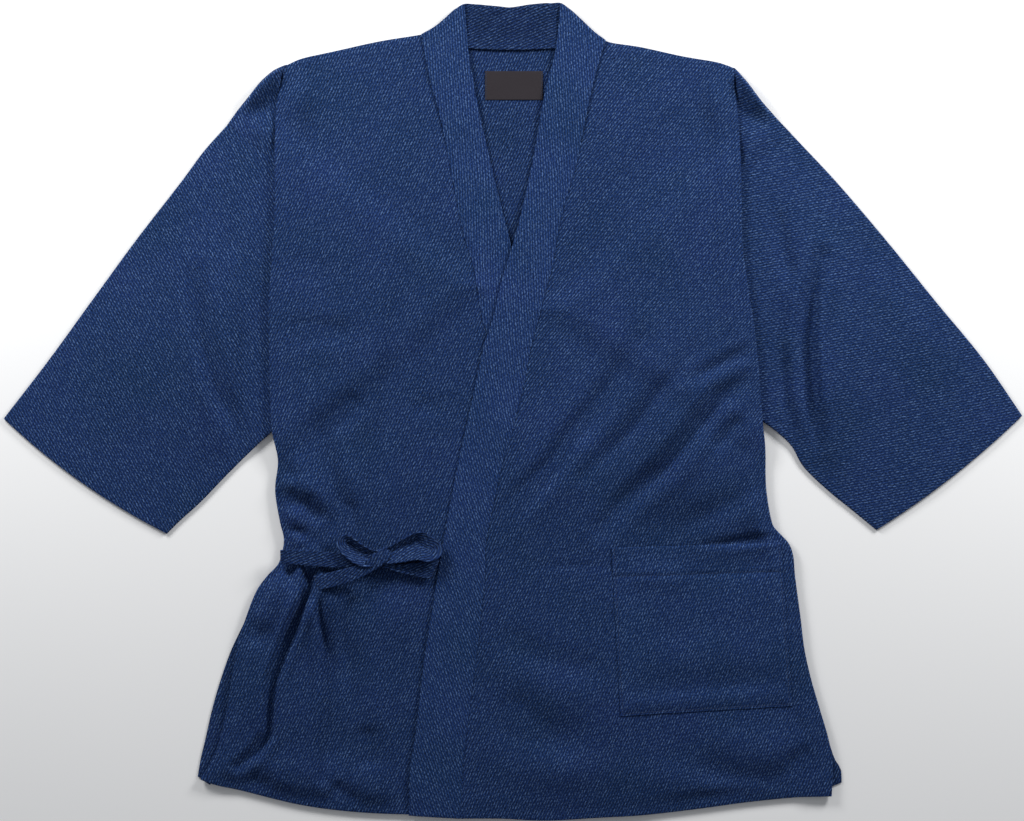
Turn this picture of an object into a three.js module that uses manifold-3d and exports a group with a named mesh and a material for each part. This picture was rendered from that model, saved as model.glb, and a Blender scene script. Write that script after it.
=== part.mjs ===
// A samue jacket laid flat on its back, closed left front over right and tied at the right hip.
// Millimetres. +X points to the wearer's left, +Y to the collar, +Z up from the surface it lies on.
// The origin is on that surface, at the middle of the jacket's width and length.

import * as THREE from 'three';
import { mergeVertices } from 'three/addons/utils/BufferGeometryUtils.js';
import Module from 'manifold-3d';

const wasm = await Module();
wasm.setup();

// Walls and gaps
const CLOTH = 1.5; // one layer of cloth
const BAND = 2.4; // the collar band, folded over its stiffening
const STRAP = 1.8; // a tie, a sewn tube of cloth pressed flat
const SEAM = 0.3; // between two pieces at a seam
const REST = 0.4; // between two layers that lie on each other

// The rolled side folds of the fronts
const FOLD_RADIUS = 1.2; // of the middle of the wall
const FOLD_STEPS = 4;
const TURNED_UNDER = 10;
const FOLD_SETTLES = 40; // from the side fold, where the front is down on the back again
const ROUND_STEPS = 3; // in the round edge of a sleeve

// The sleeves, flat tubes whose armhole ends lie between the back and the fronts
const SLEEVE_HOLLOW = 0.5; // between the two layers of a sleeve
const SLEEVE_UP = 14; // outside the side fold, where a sleeve is up on the back panel
const SLEEVE_DOWN = 44; // outside the side fold, where it is down on the surface
const SLEEVE_SWELLS = { from: 12, full: 50, edge: 0.16 }; // outside the side fold; edge is a share of width
const SLEEVE_END = { near: 8, far: 40 }; // a front comes down past the sleeve's hidden end over this width
const ARMHOLE = 279; // half the armhole, along its seam
const SLEEVE_STATIONS = 14;
const SLEEVE_COLUMNS = 11;

// The grids of the panels
const FRONT_ROWS = 34;
const FRONT_COLUMNS = 18;
const BAND_ROWS = FRONT_ROWS;
const BAND_COLUMNS = 3;

// Sizes of the smaller pieces
const LABEL = { x: 1.5, y: 339, width: 62, height: 31, wall: 0.8 };
const KNOT = { x: -137, y: -155, width: 16, length: 20, height: 10, squareness: 0.7 };
const LOOP_APART = 3.4; // between the middles of a bow loop's two layers
const STRAP_STEPS = 4; // between two rows of a strap's table
const NEARBY = 18; // a strap rests on the highest cloth within this distance
const POCKET_GRID = 11;
const POCKET_REST = 3 * REST; // the pocket lies looser, over the folds of the front

// Where the layers ease into each other
const RELIEF_FADES = { side: 36, hem: 45, shoulder: 50, lap: 36 }; // widths along a front's edges
const UNDERLAP = { near: 10, far: 50, low: 185, high: 270 }; // past the right opening, and up the chest
const OVER_STAND = { from: 262, full: 318 }; // heights over which the band climbs onto the collar stand
const HIDDEN = { hem: -415, opening: 140, seam: 75 }; // the covered hem, and where each edge is covered
const DROP = { tucked: 8, setIn: 0.5 }; // how far it runs under the front, and inside the outline

// Rows of the tables that other pieces are set by
const BY_ARMHOLE = 4; // in a side
const MID_SLEEVE = 4; // in a sleeve's top edge

const CLOTH_COLOUR = 0x27395f;
const LABEL_COLOUR = 0x463f42;

const cloth = new THREE.MeshStandardMaterial({ color: CLOTH_COLOUR, roughness: 0.92, metalness: 0 });
const labelCloth = new THREE.MeshStandardMaterial({ color: LABEL_COLOUR, roughness: 0.7, metalness: 0 });

// Turns rows of numbers into rows with named columns
function table(names, rows) {
  const keys = names.split(' ');
  return rows.map((row) => Object.fromEntries(keys.map((key, i) => [key, row[i]])));
}

// Outline of the wearer's right half, from the collar's corner down to the hem
const collarCornerRight = table('x y', [[-50, 424], [-60, 418], [-70, 409], [-81, 400], [-93.5, 393]]);
const shoulderRight = table('x y', [
  [-94, 392], [-107, 390], [-138, 385], [-179, 376], [-221, 366], [-236, 360],
]);
const dropRight = table('x y', [
  [-236, 360], [-248, 355], [-262, 343], [-278, 323], [-287, 312], [-295.5, 299],
]);
const sideRight = table('x y', [
  [-236, 360], [-240, 345], [-245, 322], [-247, 282], [-247, 208], [-250, 161], [-253, 115], [-253, 73],
  [-252, 27], [-250, -20], [-244, -51], [-247, -82], [-242, -115], [-238, -132], [-239, -144], [-244, -160],
  [-255, -172], [-266, -187], [-278, -217], [-286, -244], [-292, -277], [-298, -315], [-306, -347],
  [-315, -368], [-325, -384],
]);
const hemRight = table('x y', [
  [-325, -384], [-309, -389], [-283, -395], [-221, -410], [-169, -417], [-107, -420], [-40, -418], [56, -415],
]);
const backEdgeRight = table('x y', [
  [-293, -249], [-304, -280], [-313, -311], [-320, -342], [-325, -363], [-328, -381],
]);

// Outline of the wearer's left half
const collarCornerLeft = table('x y', [[50, 425], [60, 418], [70, 409], [86, 394], [96, 387]]);
const shoulderLeft = table('x y', [[95, 386], [101, 384], [133, 379], [174, 370], [216, 362], [231, 357]]);
const dropLeft = table('x y', [[231, 357], [244, 343], [259, 323], [273, 307], [288.5, 290.5]]);
const sideLeft = table('x y', [
  [231, 357], [232, 336], [234, 313], [237, 266], [238, 227], [239, 174], [246, 121], [252, 81],
  [256, 42], [260, -11], [263, -40], [264, -80], [269, -112], [272, -121], [279, -129], [288, -139],
  [292, -150], [294, -171], [300, -217], [304, -249], [311, -280], [320, -311], [329, -342], [333, -365],
  [332, -401],
]);
const hemLeft = table('x y', [
  [332, -401], [299, -402], [247, -407], [195, -414], [143, -420], [91, -423], [34, -426], [-13, -424],
  [-56, -424],
]);
const backEdgeLeft = table('x y', [[320, -311], [329, -342], [336, -363], [342, -373], [343, -387]]);

// The back's hem, a little shorter than the fronts in the middle
const backHem = table('x y', [
  [-309, -389], [-283, -395], [-221, -410], [-169, -417], [-60, -417], [60, -417], [91, -420], [143, -417],
  [195, -411], [247, -404], [299, -399], [325, -394],
]);

// The collar band: the edge that opens and the edge that is sewn to the front
const openingLeft = table('x y', [
  [50, 424], [45, 377], [33, 328], [20, 255], [6, 194], [-1, 169], [-12, 132], [-21, 94], [-29, 71],
  [-35, 45], [-46, -7], [-55, -46], [-65, -99], [-71, -130], [-78, -171], [-84, -210], [-92, -261],
  [-101, -337], [-106, -368], [-108, -421],
]);
const seamLeft = table('x y', [
  [96, 386], [85, 348], [78, 317], [71, 282], [64, 251], [54, 217], [47, 188], [41, 151], [35, 130],
  [27, 98], [19, 69], [12, 31], [6, 8], [-2, -25], [-10, -50], [-17, -81], [-23, -108], [-29, -143],
  [-29, -167], [-33, -208], [-36, -237], [-40, -270], [-44, -300], [-48, -331], [-51, -358], [-56, -424],
]);
const openingRightShown = table('x y', [
  [-50, 423], [-46, 376], [-43, 357], [-36, 317], [-28, 282], [-21, 251], [-15, 226], [-9, 203], [0, 169],
]);
const seamRightShown = table('x y', [
  [-94, 392], [-88, 359], [-83, 338], [-75, 309], [-67, 271], [-59, 228], [-50, 184], [-40, 151],
  [-36, 128], [-29, 90],
]);

// Under the left front the right one runs on as its mirror image, a little shorter
function mirrored(rows, below) {
  return rows.filter((row) => row.y < below).map(({ x, y }) => ({ x: -x, y: Math.max(y, HIDDEN.hem) }));
}
const openingRight = [...openingRightShown, ...mirrored(openingLeft, HIDDEN.opening)];
const seamRight = [...seamRightShown, ...mirrored(seamLeft, HIDDEN.seam)];

// The back stand of the collar and the neckline it is sewn to
const standTop = table('x y', [
  [-50, 424], [-34, 422], [-13, 420], [-3, 419], [18, 422], [39, 424], [50, 425],
]);
const neckline = table('x y', [
  [-93.5, 389], [-45, 376], [-20, 374.5], [0, 374], [20, 374.5], [45, 376], [93.5, 383.5],
]);

// Where the cloth stands up in broad swells, and its folds: depth is below zero for a trough
const swells = table('x y rise across along', [
  [-150, 240, 3, 70, 90], [-150, 60, 3, 70, 90], [-200, -85, 7, 45, 40], [-205, -225, 8, 60, 50],
  [-240, -310, 5, 50, 60], [-150, -320, 3, 60, 60], [-110, -60, 3, 40, 60], [-130, -215, 3, 40, 30],
  [150, 250, 3, 70, 90], [150, 40, 5, 80, 80], [190, -60, 6, 60, 55], [60, -60, 4, 60, 60],
  [200, -230, 4, 80, 90], [60, -300, 3, 70, 90], [240, -340, 3, 60, 40],
]);
const folds = [
  { name: 'under the tie, long', depth: -6, reach: 10,
    path: [[-212, -160], [-211, -182], [-222, -200], [-234, -231], [-248, -264], [-250, -293], [-266, -355]] },
  { name: 'under the tie, inner', depth: -4, reach: 10,
    path: [[-208, -185], [-199, -226], [-193, -253], [-192, -293], [-197, -366]] },
  { name: 'under the bow', depth: -3, reach: 11, path: [[-174, -185], [-176, -235], [-172, -270]] },
  { name: 'under the tie, ridge', depth: 4, reach: 12, path: [[-232, -178], [-246, -215], [-262, -250]] },
  { name: 'along the tie', depth: -8, reach: 20, path: [[-262, -150], [-190, -153], [-128, -156]] },
  { name: 'above the tie', depth: -3, reach: 9,
    path: [[-236, -96], [-221, -99], [-208, -108], [-201, -117], [-203, -130]] },
  { name: 'towards the bow', depth: -3, reach: 10, path: [[-228, -62], [-192, -98], [-182, -126]] },
  { name: 'right chest, slanting', depth: -3, reach: 12, path: [[-156, 16], [-192, -20]] },
  { name: 'right chest, level', depth: -2, reach: 12, path: [[-234, 83], [-164, 83]] },
  { name: 'left waist to underarm', depth: -5, reach: 11,
    path: [[250, 40], [214, 15], [177, -34], [141, -70], [106, -98], [85, -115]] },
  { name: 'left chest, middle', depth: -4, reach: 11,
    path: [[232, 64], [201, 50], [148, 1], [106, -34], [77, -62]] },
  { name: 'left chest, inner', depth: -4, reach: 12,
    path: [[163, 80], [120, 44], [85, 1], [49, -34], [14, -77], [-8, -112]] },
  { name: 'left chest, armhole', depth: -3, reach: 18, path: [[205, 321], [106, 214], [77, 143]] },
  { name: 'left waist', depth: -5, reach: 10, path: [[275, -120], [250, -128], [225, -129]] },
];
const sleeveSwells = table('x y rise across along', [
  [-390, 70, 2.6, 60, 80], [-300, 120, 2.4, 30, 90], [390, 80, 2.6, 60, 80], [290, 150, 2.4, 30, 90],
]);
const sleeveFolds = [
  { name: 'right sleeve', depth: -2.4, reach: 10,
    path: [[-331, 130], [-320, 73], [-306, 23], [-288, -27]] },
  { name: 'left sleeve', depth: -2.4, reach: 10,
    path: [[336, 186], [322, 147], [314, 100], [308, 42], [305, -11], [308, -45]] },
];

const smooth = (value, from, to) => THREE.MathUtils.smoothstep(value, from, to);

// Reads one column of a table at a value of another, straight between its rows
function read(rows, from, value, to) {
  const falling = rows[0][from] > rows[rows.length - 1][from];
  const sorted = falling ? [...rows].reverse() : rows;
  const next = sorted.findIndex((row) => row[from] >= value);
  if (next === 0) return sorted[0][to];
  if (next < 0) return sorted[sorted.length - 1][to];
  const [a, b] = [sorted[next - 1], sorted[next]];
  return THREE.MathUtils.mapLinear(value, a[from], b[from], a[to], b[to]);
}

// The distance from a point to a line of points
function distanceTo(path, x, y) {
  let nearest = Infinity;
  for (let i = 1; i < path.length; i += 1) {
    const [ax, ay] = path[i - 1];
    const [bx, by] = path[i];
    const along = ((x - ax) * (bx - ax) + (y - ay) * (by - ay)) / ((bx - ax) ** 2 + (by - ay) ** 2);
    const t = THREE.MathUtils.clamp(along, 0, 1);
    nearest = Math.min(nearest, Math.hypot(x - ax - t * (bx - ax), y - ay - t * (by - ay)));
  }
  return nearest;
}

// The swells and folds at one point, never below zero
function relief(x, y, swellRows, foldRows) {
  let rise = 0;
  for (const swell of swellRows) {
    const aside = (x - swell.x) / swell.across;
    const along = (y - swell.y) / swell.along;
    rise += swell.rise * Math.exp(-(aside ** 2) - along ** 2);
  }
  for (const fold of foldRows) {
    rise += fold.depth * Math.exp(-((distanceTo(fold.path, x, y) / fold.reach) ** 2));
  }
  return Math.max(rise, 0);
}

// The two halves of the jacket: outward is the sign of X away from the middle, and below ventTop
// the back shows past the side of the front
const halves = {
  right: {
    outward: -1, side: sideRight, shoulder: shoulderRight, drop: dropRight, hem: hemRight, seam: seamRight,
    foldTop: [[-296, 299], [-321, 271], [-344, 240], [-392, 178], [-438, 115], [-483, 53], [-530, -8]],
    foldUnder: [[-249, -21], [-263, -33], [-294, -63], [-325, -95], [-346, -114], [-360, -128]],
    cuffBulge: 7.5,
    ventTop: -235,
    backEdge: backEdgeRight,
  },
  left: {
    outward: 1, side: sideLeft, shoulder: shoulderLeft, drop: dropLeft, hem: hemLeft, seam: seamLeft,
    foldTop: [[289, 290], [307, 271], [336, 240], [389, 178], [440, 115], [491, 53], [531, -5]],
    foldUnder: [[260, -11], [274, -21], [290, -36], [303, -58], [330, -84], [351, -101], [379, -124]],
    cuffBulge: 5,
    ventTop: -300,
    backEdge: backEdgeLeft,
  },
};

// A sleeve's corner at the notch, and the far end of its armhole seam under the front
for (const half of Object.values(halves)) {
  const [notchX, notchY] = half.foldTop[0];
  const [sleeveX, sleeveY] = half.foldTop[MID_SLEEVE];
  const run = new THREE.Vector2(sleeveX - notchX, sleeveY - notchY).normalize();
  half.notch = new THREE.Vector2(notchX, notchY);
  half.seamWay = new THREE.Vector2(-half.outward * Math.abs(run.y), -Math.abs(run.x));
  half.sleeveWay = run;
  half.underarm = half.seamWay.clone().multiplyScalar(ARMHOLE).add(half.notch);
}

// The point of a half's armhole seam at one x
function onArmhole(half, x) {
  return half.seamWay.clone().multiplyScalar((x - half.notch.x) / half.seamWay.x).add(half.notch);
}

// How far a point is outside the sleeve's end that lies under the front; below zero is inside it
function outsideSleeveEnd(half, x, y) {
  const beyondSeam = -half.sleeveWay.dot(new THREE.Vector2(x, y).sub(half.notch));
  const [elbowX, elbowY] = half.foldUnder[0];
  const edge = new THREE.Vector2(elbowX, elbowY).sub(half.underarm).normalize();
  const away = new THREE.Vector2(x, y).sub(half.underarm);
  const below = half.outward * (edge.y * away.x - edge.x * away.y);
  return Math.max(beyondSeam, below);
}

// The middle of a front's wall lies over the back, over its own turned edge and over the sleeve's end
const FRONT_LOW = CLOTH + REST + CLOTH / 2;
const EDGE_LIFT = 2 * FOLD_RADIUS;
const SLEEVE_LIFT = 2 * CLOTH + SLEEVE_HOLLOW + 2 * SEAM;
const UNDERLAP_LIFT = BAND + 2 * SEAM;
const STAND_LIFT = BAND - CLOTH + SEAM;

// The rise of the layers that the left front lies on: the right front and its band
function underlap(x, y) {
  const pastBand = x - read(openingRight, 'y', y, 'x');
  const beside = 1 - smooth(pastBand, UNDERLAP.near, UNDERLAP.far);
  return UNDERLAP_LIFT * beside * (1 - smooth(y, UNDERLAP.low, UNDERLAP.high));
}

// Swells and folds fade out at a front's edges, and where the right front goes under the left
function frontRelief(half, x, y) {
  const fromSide = half.outward * (read(half.side, 'y', y, 'x') - x);
  const fromHem = y - read(half.hem, 'x', x, 'y');
  const fromShoulder = read(half.shoulder, 'x', x, 'y') - y;
  const fromLap = half === halves.right ? read(openingLeft, 'y', y, 'x') - x : Infinity;
  const fades = smooth(fromSide, 0, RELIEF_FADES.side) * smooth(fromHem, 0, RELIEF_FADES.hem)
    * smooth(fromShoulder, 0, RELIEF_FADES.shoulder) * smooth(fromLap, 0, RELIEF_FADES.lap);
  return fades * relief(x, y, swells, folds);
}

function frontMiddle(half, x, y) {
  const fromSide = half.outward * (read(half.side, 'y', y, 'x') - x);
  const edge = EDGE_LIFT * (1 - smooth(fromSide, TURNED_UNDER + 6, FOLD_SETTLES));
  const sleeve = SLEEVE_LIFT * (1 - smooth(outsideSleeveEnd(half, x, y), SLEEVE_END.near, SLEEVE_END.far));
  const under = half === halves.left ? underlap(x, y) : 0;
  return FRONT_LOW + edge + sleeve + under + frontRelief(half, x, y);
}

const frontTop = (half, x, y) => frontMiddle(half, x, y) + CLOTH / 2;

// A smooth edge through the rows of a table, moved a little
function edgeCurve(rows, dx = 0, dy = 0) {
  const points = rows.map(({ x, y }) => new THREE.Vector3(x + dx, y + dy, 0));
  return new THREE.CatmullRomCurve3(points, false, 'centripetal');
}

// The point at u across and v down, between four edges that share their corners
function patchPoint(edges, u, v) {
  const across = edges.top.getPointAt(u).lerp(edges.bottom.getPointAt(u), v);
  const down = edges.start.getPointAt(v).lerp(edges.end.getPointAt(v), u);
  const topCorners = edges.top.getPoint(0).lerp(edges.top.getPoint(1), u);
  const bottomCorners = edges.bottom.getPoint(0).lerp(edges.bottom.getPoint(1), u);
  return across.add(down).sub(topCorners.lerp(bottomCorners, v));
}

// A closed wall from sections of points, each with the way its outer face looks. A ring's
// sections close on themselves, and its two ends stay open.
function wall(sections, thickness, ring = false) {
  const rows = sections.length;
  const columns = sections[0].length;
  const positions = [];
  for (const side of [0.5, -0.5]) {
    for (const section of sections) {
      for (const { at, out } of section) {
        positions.push(...at.clone().addScaledVector(out, side * thickness).toArray());
      }
    }
  }
  const outer = (row, column) => row * columns + (column % columns);
  const inner = (row, column) => rows * columns + outer(row, column);
  const faces = [];
  const quad = (a, b, c, d) => faces.push(a, b, c, a, c, d);
  const last = ring ? columns : columns - 1;
  for (let row = 0; row < rows - 1; row += 1) {
    for (let column = 0; column < last; column += 1) {
      quad(outer(row, column), outer(row + 1, column), outer(row + 1, column + 1), outer(row, column + 1));
      quad(inner(row, column), inner(row, column + 1), inner(row + 1, column + 1), inner(row + 1, column));
    }
  }
  for (let column = 0; column < last; column += 1) {
    quad(outer(0, column), outer(0, column + 1), inner(0, column + 1), inner(0, column));
    const end = rows - 1;
    quad(outer(end, column + 1), outer(end, column), inner(end, column), inner(end, column + 1));
  }
  for (let row = 0; row < rows - 1 && !ring; row += 1) {
    quad(outer(row + 1, 0), outer(row, 0), inner(row, 0), inner(row + 1, 0));
    quad(outer(row, last), outer(row + 1, last), inner(row + 1, last), inner(row, last));
  }
  const geometry = new THREE.BufferGeometry();
  geometry.setAttribute('position', new THREE.Float32BufferAttribute(positions, 3));
  geometry.setIndex(faces);
  return facingOut(geometry);
}

// Turns the faces round if they point inwards
function facingOut(geometry) {
  const position = geometry.getAttribute('position');
  const index = geometry.getIndex();
  const corners = [new THREE.Vector3(), new THREE.Vector3(), new THREE.Vector3()];
  let volume = 0;
  for (let i = 0; i < index.count; i += 3) {
    corners.forEach((corner, k) => corner.fromBufferAttribute(position, index.getX(i + k)));
    volume += corners[0].dot(corners[1].clone().cross(corners[2]));
  }
  if (volume < 0) {
    for (let i = 0; i < index.count; i += 3) {
      const first = index.getX(i);
      index.setX(i, index.getX(i + 1));
      index.setX(i + 1, first);
    }
  }
  geometry.computeVertexNormals();
  return geometry;
}

// A flat slab from a line of points
function slab(points, thickness, z = 0) {
  const shape = new THREE.Shape(points.map(({ x, y }) => new THREE.Vector2(x, y)));
  const geometry = new THREE.ExtrudeGeometry(shape, { depth: thickness, bevelEnabled: false, steps: 1 });
  return geometry.translate(0, 0, z);
}

// A geometry as a solid that can be joined, and back
function solid(geometry) {
  const bare = geometry.clone();
  bare.deleteAttribute('normal');
  bare.deleteAttribute('uv');
  const merged = mergeVertices(bare);
  return new wasm.Manifold(new wasm.Mesh({
    numProp: 3,
    vertProperties: Float32Array.from(merged.getAttribute('position').array),
    triVerts: Uint32Array.from(merged.getIndex().array),
  }));
}

function fromSolid(body) {
  const mesh = body.getMesh();
  const geometry = new THREE.BufferGeometry();
  geometry.setAttribute('position', new THREE.BufferAttribute(Float32Array.from(mesh.vertProperties), 3));
  geometry.setIndex(new THREE.BufferAttribute(Uint32Array.from(mesh.triVerts), 1));
  geometry.computeVertexNormals();
  return geometry;
}

const UP = new THREE.Vector3(0, 0, 1);

// The back: one flat panel from shoulder to hem, with the dropped shoulders and the vents' edges
function makeBack() {
  const top = [...neckline].reverse().map(({ x, y }) => ({ x, y: y - SEAM / 2 }));
  const sideOf = (half) => [
    ...half.shoulder.slice(1), ...half.drop.slice(1), onArmhole(half, half.side[BY_ARMHOLE].x),
    ...half.side.slice(BY_ARMHOLE).filter((row) => row.y > half.ventTop), ...half.backEdge,
  ];
  return slab([...top, ...sideOf(halves.right), ...backHem, ...sideOf(halves.left).reverse()], CLOTH);
}

// The stand of the collar behind the neck, between the two folds where the band turns to the front
function makeStand() {
  const outline = [
    ...[...collarCornerRight].reverse(), ...standTop.slice(1, -1), ...collarCornerLeft,
    ...[...neckline].reverse().map(({ x, y }) => ({ x, y: y + SEAM / 2 })),
  ];
  return slab(outline, BAND);
}

// A front: its panel with the rolled side fold, joined to its share of the dropped shoulder
function makeFront(half) {
  const inset = CLOTH / 2 + FOLD_RADIUS;
  const seamShift = (half.outward * SEAM) / 2;
  const side = edgeCurve(half.side, -half.outward * inset);
  const seam = edgeCurve(half.seam, seamShift);
  const start = seam.getPoint(0);
  const startLow = seam.getPoint(1);
  const end = side.getPoint(0);
  const endLow = side.getPoint(1);
  const top = edgeCurve([start, ...half.shoulder.slice(1, -1), end]);
  const bottom = edgeCurve([startLow, ...[...half.hem].reverse().slice(1, -1), endLow]);
  const edges = { top, bottom, start: seam, end: side };
  const sections = [];
  for (let row = 0; row <= FRONT_ROWS; row += 1) {
    const v = row / FRONT_ROWS;
    const section = [];
    for (let column = 0; column <= FRONT_COLUMNS; column += 1) {
      const at = patchPoint(edges, column / FRONT_COLUMNS, v);
      at.z = frontMiddle(half, at.x, at.y);
      section.push({ at, out: UP });
    }
    section.push(...rolledEdge(section[FRONT_COLUMNS].at, side.getTangentAt(v), half.outward));
    sections.push(section);
  }
  const panel = solid(wall(sections, CLOTH));
  return fromSolid(panel.add(solid(makeDrop(half))));
}

// The half turn of a side fold, and the strip that it turns under
function rolledEdge(edge, along, outward) {
  const away = new THREE.Vector3(along.y, -along.x, 0).normalize();
  if (away.x * outward < 0) away.negate();
  const rolled = [];
  for (let step = 1; step <= FOLD_STEPS; step += 1) {
    const turn = (Math.PI * step) / FOLD_STEPS;
    const out = away.clone().multiplyScalar(Math.sin(turn)).addScaledVector(UP, Math.cos(turn));
    const at = edge.clone().addScaledVector(UP, -FOLD_RADIUS).addScaledVector(out, FOLD_RADIUS);
    rolled.push({ at, out });
  }
  const { at, out } = rolled[FOLD_STEPS - 1];
  rolled.push({ at: at.clone().addScaledVector(away, -TURNED_UNDER), out });
  return rolled;
}

// The dropped shoulder's upper layer, which comes out from under the side fold to the armhole seam
function makeDrop(half) {
  const inner = half.side[1].x - half.outward * DROP.tucked;
  const seamShift = half.sleeveWay.clone().multiplyScalar(-SEAM);
  const outline = [
    ...half.drop.slice(0, -1).map(({ x, y }) => ({ x, y: y - DROP.setIn })),
    half.notch.clone().add(seamShift),
    onArmhole(half, inner).add(seamShift), { x: inner, y: half.side[1].y },
  ];
  return slab(outline, CLOTH, CLOTH + SEAM);
}

// A sleeve: a flat tube, open at the cuff and at the armhole, which lies inside the body's side
function makeSleeve(half) {
  const atSeam = (point) => point.clone().addScaledVector(half.sleeveWay, SEAM);
  const topRows = [atSeam(half.notch), ...half.foldTop.slice(1).map(([x, y]) => ({ x, y }))];
  const underRows = [atSeam(half.underarm), ...half.foldUnder.map(([x, y]) => ({ x, y }))];
  const top = edgeCurve(topRows);
  const under = edgeCurve(underRows);
  const apart = CLOTH + SLEEVE_HOLLOW;
  const sections = [];
  for (let station = 0; station < SLEEVE_STATIONS; station += 1) {
    const along = station / (SLEEVE_STATIONS - 1);
    const from = top.getPointAt(along);
    const to = under.getPointAt(along);
    const across = to.clone().sub(from).normalize();
    from.addScaledVector(across, apart / 2 + CLOTH / 2);
    to.addScaledVector(across, -apart / 2 - CLOTH / 2);
    const upper = [];
    const lower = [];
    for (let column = 0; column < SLEEVE_COLUMNS; column += 1) {
      const w = column / (SLEEVE_COLUMNS - 1);
      const point = from.clone().lerp(to, w);
      const bulge = half.cuffBulge * 4 * w * (1 - w) * along;
      point.x += half.sleeveWay.x * bulge;
      point.y += half.sleeveWay.y * bulge;
      const low = sleeveLow(half, point.x, point.y);
      const fromSide = half.outward * (point.x - half.side[BY_ARMHOLE].x);
      const fades = smooth(fromSide, SLEEVE_SWELLS.from, SLEEVE_SWELLS.full)
        * smooth(Math.min(w, 1 - w), 0, SLEEVE_SWELLS.edge);
      const swell = fades * relief(point.x, point.y, sleeveSwells, sleeveFolds);
      lower.push({ at: new THREE.Vector3(point.x, point.y, low), out: UP.clone().negate() });
      upper.push({ at: new THREE.Vector3(point.x, point.y, low + apart + swell), out: UP });
    }
    const ring = [...upper, ...halfTurn(upper[upper.length - 1].at, across, 1), ...lower.reverse()];
    ring.push(...halfTurn(lower[lower.length - 1].at, across.clone().negate(), -1));
    sections.push(ring);
  }
  return wall(sections, CLOTH, true);
}

// The middle of a sleeve's lower layer: on the surface outside, on the back panel inside
function sleeveLow(half, x, y) {
  const inside = half.outward * (read(half.side, 'y', y, 'x') - x);
  return CLOTH / 2 + (CLOTH + REST) * smooth(inside, -SLEEVE_DOWN, -SLEEVE_UP);
}

// The round edge of a sleeve between its two layers, from the upper one down or back up
function halfTurn(edge, away, down) {
  const radius = (CLOTH + SLEEVE_HOLLOW) / 2;
  const turned = [];
  for (let step = 1; step < ROUND_STEPS; step += 1) {
    const turn = (Math.PI * step) / ROUND_STEPS;
    const out = away.clone().multiplyScalar(Math.sin(turn)).addScaledVector(UP, down * Math.cos(turn));
    turned.push({ at: edge.clone().addScaledVector(UP, -down * radius).addScaledVector(out, radius), out });
  }
  return turned;
}

// A strip of the collar band, from the fold at its top to the hem
function makeBand(opening, seam, corner, outward, height) {
  const openingEdge = edgeCurve(opening);
  const seamEdge = edgeCurve(seam, (-outward * SEAM) / 2);
  const topRows = [openingEdge.getPoint(0), ...corner.slice(1, -1), seamEdge.getPoint(0)];
  const bottomRows = [openingEdge.getPoint(1), seamEdge.getPoint(1)];
  const edges = { top: edgeCurve(topRows), bottom: edgeCurve(bottomRows), start: openingEdge, end: seamEdge };
  const sections = [];
  for (let row = 0; row <= BAND_ROWS; row += 1) {
    const section = [];
    for (let column = 0; column <= BAND_COLUMNS; column += 1) {
      const at = patchPoint(edges, column / BAND_COLUMNS, row / BAND_ROWS);
      at.z = height(at.x, at.y) + BAND / 2;
      section.push({ at, out: UP });
    }
    sections.push(section);
  }
  return wall(sections, BAND);
}

const frontBottom = (half, x, y) => frontMiddle(half, x, y) - CLOTH / 2;
const overStand = (y) => STAND_LIFT * smooth(y, OVER_STAND.from, OVER_STAND.full);

// The pocket: a square of cloth on the left front, with its mouth at the top
function makePocket() {
  const corners = { topIn: [103, -142], topOut: [279, -137], lowIn: [112, -317], lowOut: [291, -307] };
  const point = ([x, y]) => new THREE.Vector3(x, y, 0);
  const sections = [];
  for (let row = 0; row < POCKET_GRID; row += 1) {
    const v = row / (POCKET_GRID - 1);
    const inner = point(corners.topIn).lerp(point(corners.lowIn), v);
    const outer = point(corners.topOut).lerp(point(corners.lowOut), v);
    const section = [];
    for (let column = 0; column < POCKET_GRID; column += 1) {
      const at = inner.clone().lerp(outer, column / (POCKET_GRID - 1));
      at.z = frontTop(halves.left, at.x, at.y) + POCKET_REST + CLOTH / 2;
      section.push({ at, out: UP });
    }
    sections.push(section);
  }
  return wall(sections, CLOTH);
}

// The highest cloth of the right front close to a point, where a strap can rest
function highNear(x, y) {
  const steps = [-NEARBY, 0, NEARBY];
  return Math.max(...steps.flatMap((dx) => steps.map((dy) => frontTop(halves.right, x + dx, y + dy))));
}

// The ties and the bow: each row has the middle of the strap, its lift off the cloth and its width
const ties = {
  tie_side: table('x y lift width', [
    [-238, -149.5, 0, 15], [-225, -151, 0, 16], [-200, -153, 0, 17], [-175, -154.5, 0, 17],
    [-146, -155, 0, 13],
  ]),
  tie_front: table('x y lift width', [
    [-128.5, -155, 0, 11], [-112, -155, 0, 14], [-95, -154, 0, 17], [-77, -153, 0, 17],
  ]),
  bow_tail_left: table('x y lift width', [
    [-146, -161, 2.3, 10], [-165, -167, 2.3, 14], [-186, -172, 1.2, 17], [-205, -174, 0.3, 18],
  ]),
  bow_tail_right: table('x y lift width', [
    [-128.5, -160, 2.3, 9], [-112, -162, 2.3, 13], [-95, -164, 2.3, 18], [-80, -165, 2.3, 22],
  ]),
};

const loops = {
  bow_loop_left: table('x y lift width', [
    [-146, -151, 4.6, 11], [-163, -144, 4.6, 17], [-177, -137, 4.6, 17],
  ]),
  bow_loop_right: table('x y lift width', [
    [-128.5, -150, 4.6, 11], [-108, -144, 4.6, 16], [-81, -145, 4.6, 17],
  ]),
};

// A strap along the rows of a table, each with its place, its width and its lift off the cloth
function makeStrap(rows) {
  const height = ({ x, y, lift }) => highNear(x, y) + REST + STRAP / 2 + lift;
  const points = rows.map((row) => new THREE.Vector3(row.x, row.y, height(row)));
  return strapAlong(new THREE.CatmullRomCurve3(points, false, 'centripetal'), rows, null);
}

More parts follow.
